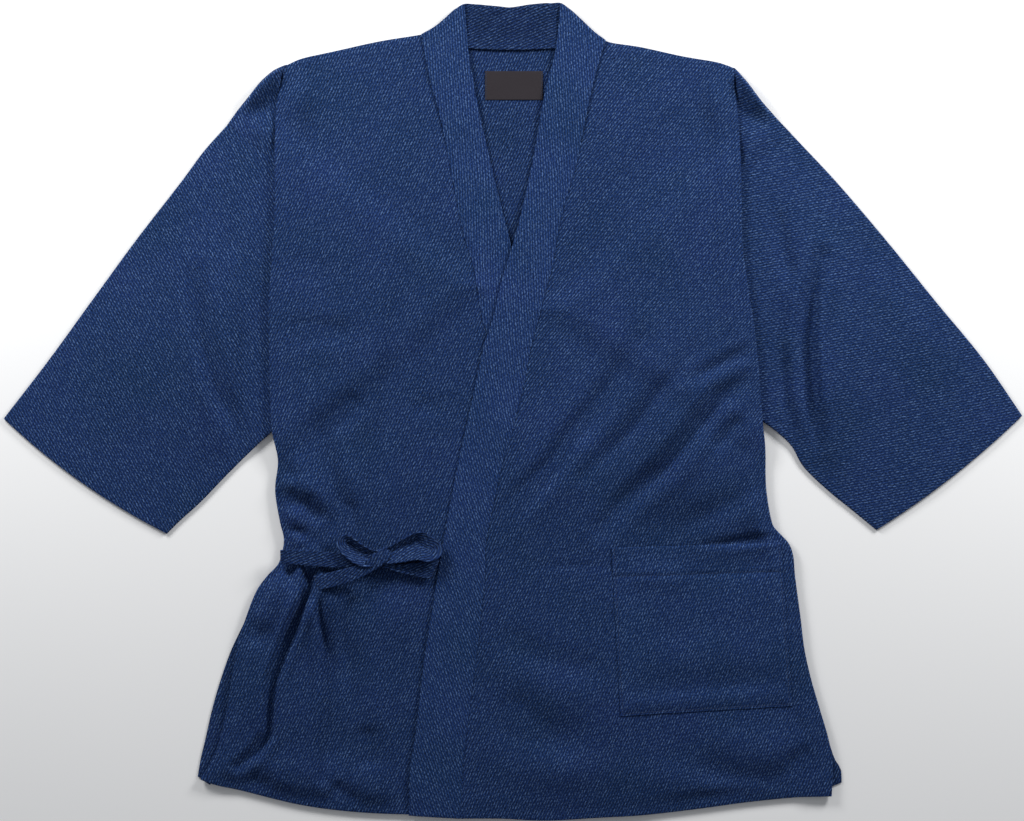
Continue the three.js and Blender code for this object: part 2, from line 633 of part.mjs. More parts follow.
// A bow's loop: out along the rows, round its end and back over itself
function makeLoop(rows) {
  const first = rows[0];
  const tip = rows[rows.length - 1];
  const way = new THREE.Vector3(tip.x - first.x, tip.y - first.y, 0).normalize();
  const base = highNear(tip.x, tip.y) + REST + STRAP / 2;
  const under = rows.map(({ x, y, lift }) => new THREE.Vector3(x, y, base + lift));
  const over = [...under].reverse().map((point) => point.clone().addScaledVector(UP, LOOP_APART));
  const end = under[under.length - 1].clone().addScaledVector(UP, LOOP_APART / 2);
  end.addScaledVector(way, LOOP_APART / 2);
  const curve = new THREE.CatmullRomCurve3([...under, end, ...over], false, 'centripetal');
  const widths = [...rows, tip, ...[...rows].reverse()];
  return strapAlong(curve, widths, new THREE.Vector3(-way.y, way.x, 0));
}

// The wall of a strap along a curve, level across its width
function strapAlong(curve, rows, level) {
  const steps = (rows.length - 1) * STRAP_STEPS;
  const widths = rows.map((row, i) => ({ t: i / (rows.length - 1), width: row.width }));
  const sections = [];
  for (let step = 0; step <= steps; step += 1) {
    const t = step / steps;
    const at = curve.getPoint(t);
    const along = curve.getTangent(t);
    const across = level ?? new THREE.Vector3(-along.y, along.x, 0).normalize();
    const out = along.clone().cross(across).normalize();
    const half = read(widths, 't', t, 'width') / 2;
    sections.push([-half, 0, half].map((aside) => ({ at: at.clone().addScaledVector(across, aside), out })));
  }
  return wall(sections, STRAP);
}

// The knot of the bow, a rounded block
function makeKnot() {
  const knot = new THREE.SphereGeometry(1, 14, 10);
  const position = knot.getAttribute('position');
  const base = highNear(KNOT.x, KNOT.y) + REST;
  for (let i = 0; i < position.count; i += 1) {
    const point = new THREE.Vector3().fromBufferAttribute(position, i);
    const square = (value) => Math.sign(value) * Math.abs(value) ** KNOT.squareness;
    position.setXYZ(
      i,
      KNOT.x + (square(point.x) * KNOT.width) / 2,
      KNOT.y + (square(point.y) * KNOT.length) / 2,
      base + (KNOT.height * (1 + square(point.z))) / 2,
    );
  }
  return knot;
}

// The label, sewn below the neck on the inside of the back
function makeLabel() {
  const corners = [[-1, -1], [1, -1], [1, 1], [-1, 1]];
  const outline = corners.map(([right, up]) => ({
    x: LABEL.x + (right * LABEL.width) / 2,
    y: LABEL.y + (up * LABEL.height) / 2,
  }));
  return slab(outline, LABEL.wall, CLOTH + SEAM);
}

// The band of one half, which lies where the front's cloth does and climbs onto the collar stand
function makeCollar(half, opening, corner) {
  return makeBand(opening, half.seam, corner, half.outward, (x, y) => frontBottom(half, x, y) + overStand(y));
}

const group = new THREE.Group();

function place(name, geometry, material = cloth) {
  const mesh = new THREE.Mesh(geometry, material);
  mesh.name = name;
  group.add(mesh);
}

place('back', makeBack());
place('sleeve_right', makeSleeve(halves.right));
place('sleeve_left', makeSleeve(halves.left));
place('collar_stand', makeStand());
place('label', makeLabel(), labelCloth);
place('front_right', makeFront(halves.right));
place('collar_right', makeCollar(halves.right, openingRight, collarCornerRight));
place('front_left', makeFront(halves.left));
place('collar_left', makeCollar(halves.left, openingLeft, collarCornerLeft));
place('pocket', makePocket());
for (const [name, rows] of Object.entries(ties)) place(name, makeStrap(rows));
for (const [name, rows] of Object.entries(loops)) place(name, makeLoop(rows));
place('bow_knot', makeKnot());

export default group;
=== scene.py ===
"""A samue jacket laid flat on its back, closed left front over right and tied at the right hip.

The tables are in millimetres: X points to the wearer's left, Y to the collar and Z up from the
surface that the jacket lies on. Meshes are made in metres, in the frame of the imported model.
"""

from __future__ import annotations

import logging
import math
from dataclasses import dataclass, field
from enum import Enum
from typing import Callable, Sequence

import bmesh
import bpy
import numpy as np
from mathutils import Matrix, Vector

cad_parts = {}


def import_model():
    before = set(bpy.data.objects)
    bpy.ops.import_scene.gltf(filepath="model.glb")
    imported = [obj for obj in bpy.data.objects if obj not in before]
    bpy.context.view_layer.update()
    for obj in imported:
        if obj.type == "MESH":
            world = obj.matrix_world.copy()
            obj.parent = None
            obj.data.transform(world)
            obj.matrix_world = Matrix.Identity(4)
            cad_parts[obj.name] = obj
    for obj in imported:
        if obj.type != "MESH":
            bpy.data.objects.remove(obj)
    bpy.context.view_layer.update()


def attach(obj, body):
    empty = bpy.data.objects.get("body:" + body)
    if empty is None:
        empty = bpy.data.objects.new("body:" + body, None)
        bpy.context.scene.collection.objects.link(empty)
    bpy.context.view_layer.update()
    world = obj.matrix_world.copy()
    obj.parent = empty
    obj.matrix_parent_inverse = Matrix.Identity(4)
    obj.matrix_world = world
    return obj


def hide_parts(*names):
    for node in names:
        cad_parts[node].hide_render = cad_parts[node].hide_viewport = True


log = logging.getLogger("samue")

MM = 0.001
Rows = Sequence[tuple[float, ...]]
Span = tuple[float, float]
Plain = tuple[float, float, float]
Array = np.ndarray
Piece = bpy.types.Object
Material = bpy.types.Material
Socket = bpy.types.NodeSocket
Colour = Plain | Socket

# Walls and the gaps between layers
CLOTH = 1.1
BAND = 2.2
STRAP = 1.7
LABEL_CLOTH = 0.5
SOLID_CLOTH = 1.5
SOLID_BAND = 2.4
RIM = 0.5
REST = 0.4
SEAM = 0.3

# The rolled side folds of the fronts
FOLD_RADIUS = 1.2
FOLD_STEPS = 8
TURNED_UNDER = 10.0
FOLD_CREST = 16.0
FOLD_SETTLES = 40.0

# A crease: the share of its depth left at its ends, and the widths and place of its line and lips
KEPT_AT_ENDS = 0.25
LINE_WIDTH = 0.4
LIP_PLACE = 2.1
LIP_WIDTH = 0.9

# Heights of the layers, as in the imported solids
FRONT_LOW = SOLID_CLOTH + REST + SOLID_CLOTH / 2
EDGE_LIFT = 2 * FOLD_RADIUS
SLEEVE_HOLLOW = 0.5
SLEEVE_LIFT = 2 * SOLID_CLOTH + SLEEVE_HOLLOW + 2 * SEAM
UNDERLAP_LIFT = SOLID_BAND + 2 * SEAM
STAND_LIFT = SOLID_BAND - SOLID_CLOTH + SEAM
ARMHOLE = 279.0

# Outlines of the wearer's right half
CORNER_RIGHT = [(-50, 424), (-60, 418), (-70, 409), (-81, 400), (-93.5, 393)]
SHOULDER_RIGHT = [(-94, 392), (-107, 390), (-138, 385), (-179, 376), (-221, 366), (-236, 360)]
DROP_RIGHT = [(-236, 360), (-248, 355), (-262, 343), (-278, 323), (-287, 312), (-295.5, 299)]
SIDE_RIGHT = [
    (-236, 360), (-240, 345), (-245, 322), (-247, 282), (-247, 208), (-250, 161), (-253, 115),
    (-253, 73), (-252, 27), (-250, -20), (-244, -51), (-247, -82), (-242, -115), (-238, -132),
    (-239, -144), (-244, -160), (-255, -172), (-266, -187), (-278, -217), (-286, -244),
    (-292, -277), (-298, -315), (-306, -347), (-315, -368), (-325, -384),
]
HEM_RIGHT = [
    (-325, -384), (-309, -389), (-283, -395), (-221, -410), (-169, -417), (-107, -420),
    (-40, -418), (56, -415),
]
BACK_EDGE_RIGHT = [
    (-293, -249), (-304, -280), (-313, -311), (-320, -342), (-325, -363), (-328, -381),
]
SLEEVE_TOP_RIGHT = [
    (-296, 299), (-321, 271), (-344, 240), (-392, 178), (-438, 115), (-483, 53), (-530, -8),
]
SLEEVE_UNDER_RIGHT = [
    (-249, -21), (-263, -33), (-294, -63), (-325, -95), (-346, -114), (-360, -128),
]

# Outlines of the wearer's left half
CORNER_LEFT = [(50, 425), (60, 418), (70, 409), (86, 394), (96, 387)]
SHOULDER_LEFT = [(95, 386), (101, 384), (133, 379), (174, 370), (216, 362), (231, 357)]
DROP_LEFT = [(231, 357), (244, 343), (259, 323), (273, 307), (288.5, 290.5)]
SIDE_LEFT = [
    (231, 357), (232, 336), (234, 313), (237, 266), (238, 227), (239, 174), (246, 121),
    (252, 81), (256, 42), (260, -11), (263, -40), (264, -80), (269, -112), (272, -121),
    (279, -129), (288, -139), (292, -150), (294, -171), (300, -217), (304, -249), (311, -280),
    (320, -311), (329, -342), (333, -365), (332, -401),
]
HEM_LEFT = [
    (332, -401), (299, -402), (247, -407), (195, -414), (143, -420), (91, -423), (34, -426),
    (-13, -424), (-56, -424),
]
BACK_EDGE_LEFT = [(320, -311), (329, -342), (336, -363), (342, -373), (343, -387)]
SLEEVE_TOP_LEFT = [
    (289, 290), (307, 271), (336, 240), (389, 178), (440, 115), (491, 53), (531, -5),
]
SLEEVE_UNDER_LEFT = [
    (260, -11), (274, -21), (290, -36), (303, -58), (330, -84), (351, -101), (379, -124),
]
BACK_HEM = [
    (-309, -389), (-283, -395), (-221, -410), (-169, -417), (-60, -417), (60, -417),
    (91, -420), (143, -417), (195, -411), (247, -404), (299, -399), (325, -394),
]

# The collar band: the edge that opens and the edge that is sewn to the front
OPENING_LEFT = [
    (50, 424), (45, 377), (33, 328), (20, 255), (6, 194), (-1, 169), (-12, 132), (-21, 94),
    (-29, 71), (-35, 45), (-46, -7), (-55, -46), (-65, -99), (-71, -130), (-78, -171),
    (-84, -210), (-92, -261), (-101, -337), (-106, -368), (-108, -421),
]
SEAM_LEFT = [
    (96, 386), (85, 348), (78, 317), (71, 282), (64, 251), (54, 217), (47, 188), (41, 151),
    (35, 130), (27, 98), (19, 69), (12, 31), (6, 8), (-2, -25), (-10, -50), (-17, -81),
    (-23, -108), (-29, -143), (-29, -167), (-33, -208), (-36, -237), (-40, -270), (-44, -300),
    (-48, -331), (-51, -358), (-56, -424),
]
OPENING_RIGHT_SHOWN = [
    (-50, 423), (-46, 376), (-43, 357), (-36, 317), (-28, 282), (-21, 251), (-15, 226),
    (-9, 203), (0, 169),
]
SEAM_RIGHT_SHOWN = [
    (-94, 392), (-88, 359), (-83, 338), (-75, 309), (-67, 271), (-59, 228), (-50, 184),
    (-40, 151), (-36, 128), (-29, 90),
]
HIDDEN_HEM = -415.0
HIDDEN_OPENING = 140.0
HIDDEN_SEAM = 75.0

# The back stand of the collar and the neckline it is sewn to
STAND_TOP = [(-50, 424), (-34, 422), (-13, 420), (-3, 419), (18, 422), (39, 424), (50, 425)]
NECKLINE = [(-93.5, 389), (-45, 376), (-20, 374.5), (0, 374), (20, 374.5), (45, 376), (93.5, 383.5)]


def mirrored(rows: Rows, below: float) -> list[tuple[float, float]]:
    """Gives the covered part of a right edge, as the mirror image of the left one.

    Args:
        rows: The rows of the left edge.
        below: The height below which the right edge is covered.

    Returns:
        The covered rows, no lower than the covered hem.
    """
    return [(-x, max(y, HIDDEN_HEM)) for x, y in rows if y < below]


OPENING_RIGHT = OPENING_RIGHT_SHOWN + mirrored(OPENING_LEFT, HIDDEN_OPENING)
SEAM_RIGHT = SEAM_RIGHT_SHOWN + mirrored(SEAM_LEFT, HIDDEN_SEAM)


class Side(Enum):
    """The wearer's side that a piece belongs to, with the sign of X that points outward."""

    RIGHT = -1
    LEFT = 1


class Hold(Enum):
    LAID = "laid"
    FOLDED = "folded"
    GATHERED = "gathered"


@dataclass(frozen=True)
class Swell:
    """A broad place where the cloth stands up from what it lies on."""

    x: float
    y: float
    rise: float
    across: float
    along: float


@dataclass(frozen=True)
class Fold:
    """A crease along a line: depth is below zero for a trough.

    reach is its width on the left of the line's direction and other on its right. sharp is the
    share of the depth that comes down to a thin line, as at a pressed crease. lips is the share
    that stands up on both sides of it. ends are the shares of the length over which it runs out.
    """

    name: str
    depth: float
    reach: float
    other: float
    path: Rows
    sharp: float = 0.0
    lips: float = 0.0
    ends: tuple[float, float] = (0.25, 0.25)


SWELLS = [
    Swell(-150, 240, 3, 70, 90), Swell(-150, 60, 3.5, 70, 90), Swell(-200, -75, 7, 48, 36),
    Swell(-215, -215, 9, 48, 46), Swell(-250, -310, 8, 42, 60), Swell(-165, -310, 7, 50, 70),
    Swell(-110, -60, 3, 40, 60), Swell(-130, -215, 4, 40, 36), Swell(150, 250, 3, 70, 90),
    Swell(150, 40, 6, 84, 84), Swell(190, -60, 8, 62, 55), Swell(60, -60, 5, 60, 60),
    Swell(200, -230, 4, 80, 90), Swell(60, -300, 6, 80, 80), Swell(240, -350, 4, 60, 36),
    Swell(236, -104, 4.5, 46, 24), Swell(-237, -190, 6, 24, 26), Swell(-192, -192, 6, 22, 28),
    Swell(-222, -110, 4, 30, 30), Swell(262, -372, 4, 50, 26), Swell(190, -385, 3.5, 60, 20),
    Swell(-245, -378, 5, 50, 22), Swell(-150, -392, 3.5, 50, 20), Swell(170, -10, 5, 56, 56),
    Swell(60, -372, 4, 50, 24), Swell(-219, 330, 5, 16, 26), Swell(214, 326, 5, 16, 26),
]
FOLDS = [
    Fold("under the tie, long", -12, 5.5, 4.5, [
        (-211, -158), (-211, -186), (-223, -211), (-238, -247), (-250, -278), (-253, -311),
        (-254, -335), (-268, -355), (-287, -369)], 0.3, 0.3, (0.0, 0.3)),
    Fold("under the tie, shade", -4, 14, 5, [
        (-224, -211), (-236, -247), (-246, -278), (-248, -311), (-249, -335), (-262, -352)],
        0, 0, (0.1, 0.3)),
    Fold("under the tie, inner", -9, 6, 5, [
        (-204, -178), (-199, -211), (-195, -243), (-190, -297), (-194, -342), (-198, -380)],
        0.2, 0.25, (0.15, 0.6)),
    Fold("under the tie, inner shade", -6.5, 22, 8, [
        (-190, -225), (-184, -255), (-178, -300), (-186, -350), (-190, -385)], 0, 0, (0.3, 0.3)),
    Fold("outer hollow", -5, 9, 12, [(-276, -222), (-262, -232), (-250, -236)], 0, 0.1, (0.1, 0.4)),
    Fold("under the bow", -4.5, 8, 12, [(-174, -185), (-176, -235), (-172, -270)], 0, 0.2, (0.05, 0.5)),
    Fold("below the side of the tie", -9, 5, 5, [
        (-229, -158), (-230, -166), (-232, -176)], 0.2, 0.2, (0.0, 0.6)),
    Fold("along the tie", -2.5, 11, 11, [(-262, -150), (-190, -153), (-128, -156)]),
    Fold("above the tie", -9, 9, 13, [
        (-246, -88), (-230, -91), (-214, -98), (-204, -110), (-201, -124)], 0.25, 0.25, (0.0, 0.3)),
    Fold("above the tie, second", -5, 8, 5, [(-240, -120), (-226, -124), (-212, -132)], 0.2, 0.2),
    Fold("above the tie, third", -3.5, 7, 5, [(-247, -62), (-232, -66), (-220, -76)], 0.2, 0.2, (0.0, 0.4)),
    Fold("towards the bow", -6, 9, 14, [
        (-196, -20), (-190, -56), (-182, -90), (-176, -112), (-172, -128)], 0, 0.2, (0.5, 0.1)),
    Fold("beside the bow", -3, 8, 8, [(-166, -92), (-172, -126)]),
    Fold("right chest, slanting", -3.5, 10, 14, [(-156, 16), (-192, -20)], 0, 0.2),
    Fold("right chest, level", -3, 10, 12, [(-234, 83), (-164, 83)], 0, 0.2),
    Fold("right chest, upper", -2.2, 10, 14, [(-240, 150), (-190, 146)]),
    Fold("right chest, upright", -4.5, 10, 10, [
        (-112, 150), (-120, 100), (-127, 40), (-130, -20), (-134, -66)], 0.1, 0.25, (0.5, 0.4)),
    Fold("right waist, level", -2.4, 8, 8, [(-103, 4), (-50, 4)]),
    Fold("right hem, first", -6, 12, 12, [(-277, -379), (-264, -388), (-249, -394)]),
    Fold("right hem, second", -4, 9, 9, [(-190, -388), (-176, -398), (-156, -409)]),
    Fold("right hem, third", -4, 12, 12, [(-151, -324), (-148, -376)]),
    Fold("left waist to underarm", -9.5, 10, 9, [
        (246, 32), (215, 14), (187, -20), (156, -59), (114, -97), (92, -122)], 0.15, 0.2, (0.2, 0.4)),
    Fold("left chest, middle", -6, 9, 10, [
        (188, 62), (172, 43), (154, 21), (134, -8), (116, -30), (94, -50), (70, -68)],
        0.1, 0.15, (0.45, 0.5)),
    Fold("left chest, upper", -4, 6, 7, [
        (248, 62), (230, 55), (212, 46), (196, 38), (178, 32)], 0.15, 0.15, (0.0, 0.4)),
    Fold("left underarm, short", -4, 8, 12, [(240, -4), (222, -22), (206, -44)], 0.1, 0.2),
    Fold("left chest, inner", -8, 10, 11, [
        (130, 74), (106, 34), (85, 0), (62, -28), (44, -56), (18, -84), (-8, -114)], 0, 0.15, (0.5, 0.3)),
    Fold("left chest, armhole", -4, 16, 22, [(205, 321), (106, 214), (77, 143)]),
    Fold("left waist", -4.6, 4, 5, [(278, -130), (254, -134), (226, -137), (198, -139)],
        0.4, 0.1, (0.0, 0.6)),
    Fold("left waist, upper", -4.5, 12, 14, [
        (256, -76), (232, -94), (204, -108), (166, -122)], 0, 0.1, (0.4, 0.5)),
    Fold("press line", -1.2, 4, 4, [(-29, -157), (36, -161), (103, -162)], 0.3),
    Fold("beside the pocket", -4, 5, 5, [(297, -285), (298, -310), (300, -336)], 0.3),
    Fold("below the pocket", -5, 12, 18, [(318, -372), (280, -384), (230, -380), (180, -370)], 0, 0.2),
    Fold("lower middle", -5, 26, 22, [(-20, -300), (20, -330), (80, -352)], 0, 0.1),
    Fold("lower middle, upper", -3, 16, 16, [(-20, -232), (40, -262), (100, -272)]),
    Fold("left hem, outer", -2.5, 12, 9, [(312, -352), (296, -362), (280, -366)]),
    Fold("left hem, level", -3, 9, 9, [(182, -404), (216, -402), (249, -399)]),
]
SLEEVE_SWELLS = [
    Swell(-390, 70, 2.6, 60, 80), Swell(-300, 120, 5.0, 34, 90), Swell(390, 80, 2.6, 60, 80),
    Swell(296, 150, 5.4, 34, 90), Swell(326, 30, 6, 40, 80), Swell(-312, 30, 6, 36, 70),
]
SLEEVE_FOLDS = [
    Fold("right sleeve", -8, 10, 8, [(-331, 140), (-320, 73), (-306, 23), (-288, -27)], 0.1, 0.2),
    Fold("right sleeve, inner", -6, 9, 9, [(-276, 90), (-272, 40), (-264, 0)], 0.1, 0.2),
    Fold("right sleeve, upper", -3.5, 12, 12, [(-318, 236), (-296, 190), (-286, 150)]),
    Fold("left sleeve", -11, 7, 8, [
        (322, 160), (309, 116), (305, 76), (308, 34), (311, 2), (316, -34)], 0.4, 0.4),
    Fold("left sleeve, faint", -4, 9, 9, [(269, 214), (280, 170), (291, 129)]),
    Fold("left sleeve, underarm", -4, 7, 7, [(284, 60), (285, 20), (290, -14)], 0.1, 0.2),
]


def smooth(value: Array | float, start: float, stop: float) -> Array | float:
    """Eases from 0 where value is start to 1 where it is stop."""
    share = np.clip((value - start) / (stop - start), 0.0, 1.0)
    return share * share * (3 - 2 * share)


def read(rows: Rows, given: int, value: Array, wanted: int) -> Array:
    """Reads one column of a table at values of another, straight between its rows.

    Args:
        rows: The table, whose given column only rises or only falls.
        given: The column that value belongs to.
        value: The values to read at.
        wanted: The column to read.

    Returns:
        The wanted column at each value.
    """
    table = np.array(rows, float)
    if table[0, given] > table[-1, given]:
        table = table[::-1]
    return np.interp(value, table[:, given], table[:, wanted])


def rounded(rows: Array, space: int, steps: int) -> Array:
    """Runs a smooth line through rows of numbers, with centripetal spacing.

    Args:
        rows: The rows to pass through.
        space: How many of the first columns are a place, which sets the spacing.
        steps: How many points each stretch between two rows gets.

    Returns:
        The points of the line, with all the columns of the rows.
    """
    padded = np.vstack([2 * rows[0] - rows[1], rows, 2 * rows[-1] - rows[-2]])
    gaps = np.linalg.norm(np.diff(padded[:, :space], axis=0), axis=1) ** 0.5
    gaps = np.maximum(gaps, 1e-3)
    share = np.linspace(0, 1, steps, endpoint=False)[:, None]
    line = []
    for i in range(1, len(padded) - 2):
        before, start, end, after = padded[i - 1:i + 3]
        first, middle, last = gaps[i - 1:i + 2]
        leave = (start - before) / first - (end - before) / (first + middle) + (end - start) / middle
        arrive = (end - start) / middle - (after - start) / (middle + last) + (after - end) / last
        leave, arrive = leave * middle, arrive * middle
        line.append(
            (2 * share**3 - 3 * share**2 + 1) * start
            + (share**3 - 2 * share**2 + share) * leave
            + (3 * share**2 - 2 * share**3) * end
            + (share**3 - share**2) * arrive
        )
    return np.vstack([*line, rows[-1:]])


class Edge:
    """A smooth line through the rows of an outline, measured along its length."""

    STEPS = 16

    def __init__(self, rows: Rows, dx: float = 0.0) -> None:
        """Runs the line through the rows.

        Args:
            rows: The rows, whose first two columns are X and Y.
            dx: How far the line is moved along X.
        """
        self.points = rounded(np.array([row[:2] for row in rows], float) + (dx, 0), 2, self.STEPS)
        lengths = np.linalg.norm(np.diff(self.points, axis=0), axis=1)
        self.along = np.concatenate([[0.0], np.cumsum(lengths)])
        self.length = float(self.along[-1])

    def at(self, shares: Array) -> Array:
        """Gives the X and Y of the points at shares of the length."""
        where = np.asarray(shares) * self.length
        return np.stack([np.interp(where, self.along, self.points[:, k]) for k in (0, 1)], axis=-1)

    def way(self, shares: Array) -> Array:
        """Gives the directions of the line.

        Args:
            shares: Shares of the length.

        Returns:
            A unit vector for each share.
        """
        step = 1.0 / self.length
        shares = np.asarray(shares)
        run = self.at(np.minimum(shares + step, 1)) - self.at(np.maximum(shares - step, 0))
        return run / np.linalg.norm(run, axis=-1, keepdims=True)


@dataclass(frozen=True)
class Patch:
    """A surface in the plane between four edges that share their corners."""

    top: Edge
    bottom: Edge
    start: Edge
    end: Edge

    def points(self, across: Array, down: Array) -> Array:
        """Gives the points of a grid.

        Args:
            across: Shares from the start edge to the end edge.
            down: Shares from the top edge to the bottom edge.

        Returns:
            The grid, one row for each share down.
        """
        u = across[None, :, None]
        v = down[:, None, None]
        rows = self.top.at(across)[None] * (1 - v) + self.bottom.at(across)[None] * v
        columns = self.start.at(down)[:, None] * (1 - u) + self.end.at(down)[:, None] * u
        top = self.top.points[0] * (1 - u) + self.top.points[-1] * u
        bottom = self.bottom.points[0] * (1 - u) + self.bottom.points[-1] * u
        return rows + columns - (top * (1 - v) + bottom * v)


class Unevenness:
    """The small rise and fall of real cloth, the same in each run."""

    SIZE = 64

    def __init__(self, seed: int) -> None:
        """Draws the heights of a lattice, from -1 to 1."""
        self.heights = np.random.default_rng(seed).uniform(-1, 1, (self.SIZE, self.SIZE))

    def at(self, x: Array, y: Array, wave_x: float, wave_y: float) -> Array:
        """Gives the height at points, for waves of the given lengths.

        Args:
            x: The points' X.
            y: The points' Y.
            wave_x: The length of a wave along the first.
            wave_y: The length of a wave along the second.

        Returns:
            The heights, from -1 to 1.
        """
        u, v = x / wave_x, y / wave_y
        column, row = np.floor(u).astype(int), np.floor(v).astype(int)
        across, down = smooth(u - column, 0, 1), smooth(v - row, 0, 1)
        left, right = column % self.SIZE, (column + 1) % self.SIZE
        near, far = row % self.SIZE, (row + 1) % self.SIZE
        low = self.heights[near, left] * (1 - across) + self.heights[near, right] * across
        high = self.heights[far, left] * (1 - across) + self.heights[far, right] * across
        return low * (1 - down) + high * down


UNEVENNESS = Unevenness(7)


@dataclass(frozen=True)
class Wave:
    """Small uneven waves of one size: their height, their lengths and where they are read."""

    height: float
    along_x: float
    along_y: float
    from_x: float = 0.0
    from_y: float = 0.0

    def at(self, x: Array, y: Array) -> Array:
        """Gives the rise of the waves at points."""
        return self.height * UNEVENNESS.at(x + self.from_x, y + self.from_y, self.along_x, self.along_y)


def crease(fold: Fold, x: Array, y: Array) -> Array:
    """Gives the depth of a fold at points. It runs out softly at both ends.

    Args:
        fold: The fold.
        x: The points' X.
        y: The points' Y.

    Returns:
        The height that the fold adds.
    """
    path = np.array(fold.path, float)
    lengths = np.linalg.norm(np.diff(path, axis=0), axis=1)
    before = np.concatenate([[0.0], np.cumsum(lengths)])
    nearest = np.full(x.shape, np.inf)
    share = np.zeros(x.shape)
    left = np.ones(x.shape, bool)
    for first, last, length, passed in zip(path, path[1:], lengths, before):
        way = (last - first) / length
        along = np.clip((x - first[0]) * way[0] + (y - first[1]) * way[1], 0, length)
        aside_x, aside_y = x - first[0] - along * way[0], y - first[1] - along * way[1]
        distance = np.hypot(aside_x, aside_y)
        closer = distance < nearest
        nearest = np.where(closer, distance, nearest)
        share = np.where(closer, (passed + along) / before[-1], share)
        left = np.where(closer, way[0] * aside_y - way[1] * aside_x > 0, left)
    reach = np.where(left, fold.reach, fold.other)
    start = smooth(share, 0, fold.ends[0]) if fold.ends[0] else 1.0
    stop = smooth(1 - share, 0, fold.ends[1]) if fold.ends[1] else 1.0
    runs_out = KEPT_AT_ENDS + (1 - KEPT_AT_ENDS) * start * stop
    soft = np.exp(-((nearest / reach) ** 2))
    line = np.exp(-nearest / (LINE_WIDTH * reach))
    lips = np.exp(-(((nearest - LIP_PLACE * reach) / (LIP_WIDTH * reach)) ** 2))
    return fold.depth * runs_out * (soft * (1 - fold.sharp) + line * fold.sharp - lips * fold.lips)


def relief(x: Array, y: Array, swells: list[Swell], folds: list[Fold]) -> Array:
    """Gives the swells and folds at points.

    Args:
        x: The points' X.
        y: The points' Y.
        swells: The swells of the cloth.
        folds: Its folds.

    Returns:
        The rise of the cloth, never below zero.
    """
    rise = np.zeros(x.shape)
    for swell in swells:
        across, along = (x - swell.x) / swell.across, (y - swell.y) / swell.along
        rise += swell.rise * np.exp(-(across**2) - along**2)
    for fold in folds:
        rise += crease(fold, x, y)
    return np.maximum(rise, 0)


@dataclass(frozen=True)
class Half:
    """One half of the jacket, with its outlines."""

    side: Side
    edge: Rows
    shoulder: Rows
    drop: Rows
    hem: Rows
    opening: Rows
    seam: Rows
    corner: Rows
    sleeve_top: Rows
    sleeve_under: Rows
    cuff_bulge: float
    vent_top: float
    back_edge: Rows
    by_armhole: int = 4
    mid_sleeve: int = 4

    @property
    def outward(self) -> float:
        """The sign of X away from the middle."""
        return float(self.side.value)

    @property
    def notch(self) -> Array:
        """The outer end of the armhole seam, where the outline turns into the sleeve."""
        return np.array(self.sleeve_top[0], float)

    @property
    def sleeve_way(self) -> Array:
        """The unit direction of the sleeve, away from the body."""
        run = np.array(self.sleeve_top[self.mid_sleeve], float) - self.notch
        return run / np.linalg.norm(run)

    @property
    def seam_way(self) -> Array:
        """The unit direction of the armhole seam, down and inward."""
        way = self.sleeve_way
        return np.array([-self.outward * abs(way[1]), -abs(way[0])])

    @property
    def underarm(self) -> Array:
        """The inner end of the armhole seam, under the front."""
        return self.notch + self.seam_way * ARMHOLE

    def on_armhole(self, x: float) -> Array:
        """Gives the point of the armhole seam at one x."""
        return self.notch + self.seam_way * (x - self.notch[0]) / self.seam_way[0]

    def from_side(self, x: Array, y: Array) -> Array:
        """Gives how far points are inside the side fold."""
        return self.outward * (read(self.edge, 1, y, 0) - x)

    def outside_sleeve_end(self, x: Array, y: Array) -> Array:
        """Gives how far points are from the sleeve's hidden end.

        Args:
            x: The points' X.
            y: The points' Y.

        Returns:
            The distance, below zero for a point that lies over the sleeve.
        """
        beyond = -((x - self.notch[0]) * self.sleeve_way[0] + (y - self.notch[1]) * self.sleeve_way[1])
        edge = np.array(self.sleeve_under[0], float) - self.underarm
        edge /= np.linalg.norm(edge)
        away_x, away_y = x - self.underarm[0], y - self.underarm[1]
        below = self.outward * (edge[1] * away_x - edge[0] * away_y)
        return np.maximum(beyond, below)


RIGHT_HALF = Half(
    side=Side.RIGHT, edge=SIDE_RIGHT, shoulder=SHOULDER_RIGHT, drop=DROP_RIGHT, hem=HEM_RIGHT,
    opening=OPENING_RIGHT, seam=SEAM_RIGHT, corner=CORNER_RIGHT, sleeve_top=SLEEVE_TOP_RIGHT,
    sleeve_under=SLEEVE_UNDER_RIGHT, cuff_bulge=7.5, vent_top=-235, back_edge=BACK_EDGE_RIGHT,
)
LEFT_HALF = Half(
    side=Side.LEFT, edge=SIDE_LEFT, shoulder=SHOULDER_LEFT, drop=DROP_LEFT, hem=HEM_LEFT,
    opening=OPENING_LEFT, seam=SEAM_LEFT, corner=CORNER_LEFT, sleeve_top=SLEEVE_TOP_LEFT,
    sleeve_under=SLEEVE_UNDER_LEFT, cuff_bulge=5, vent_top=-300, back_edge=BACK_EDGE_LEFT,
)


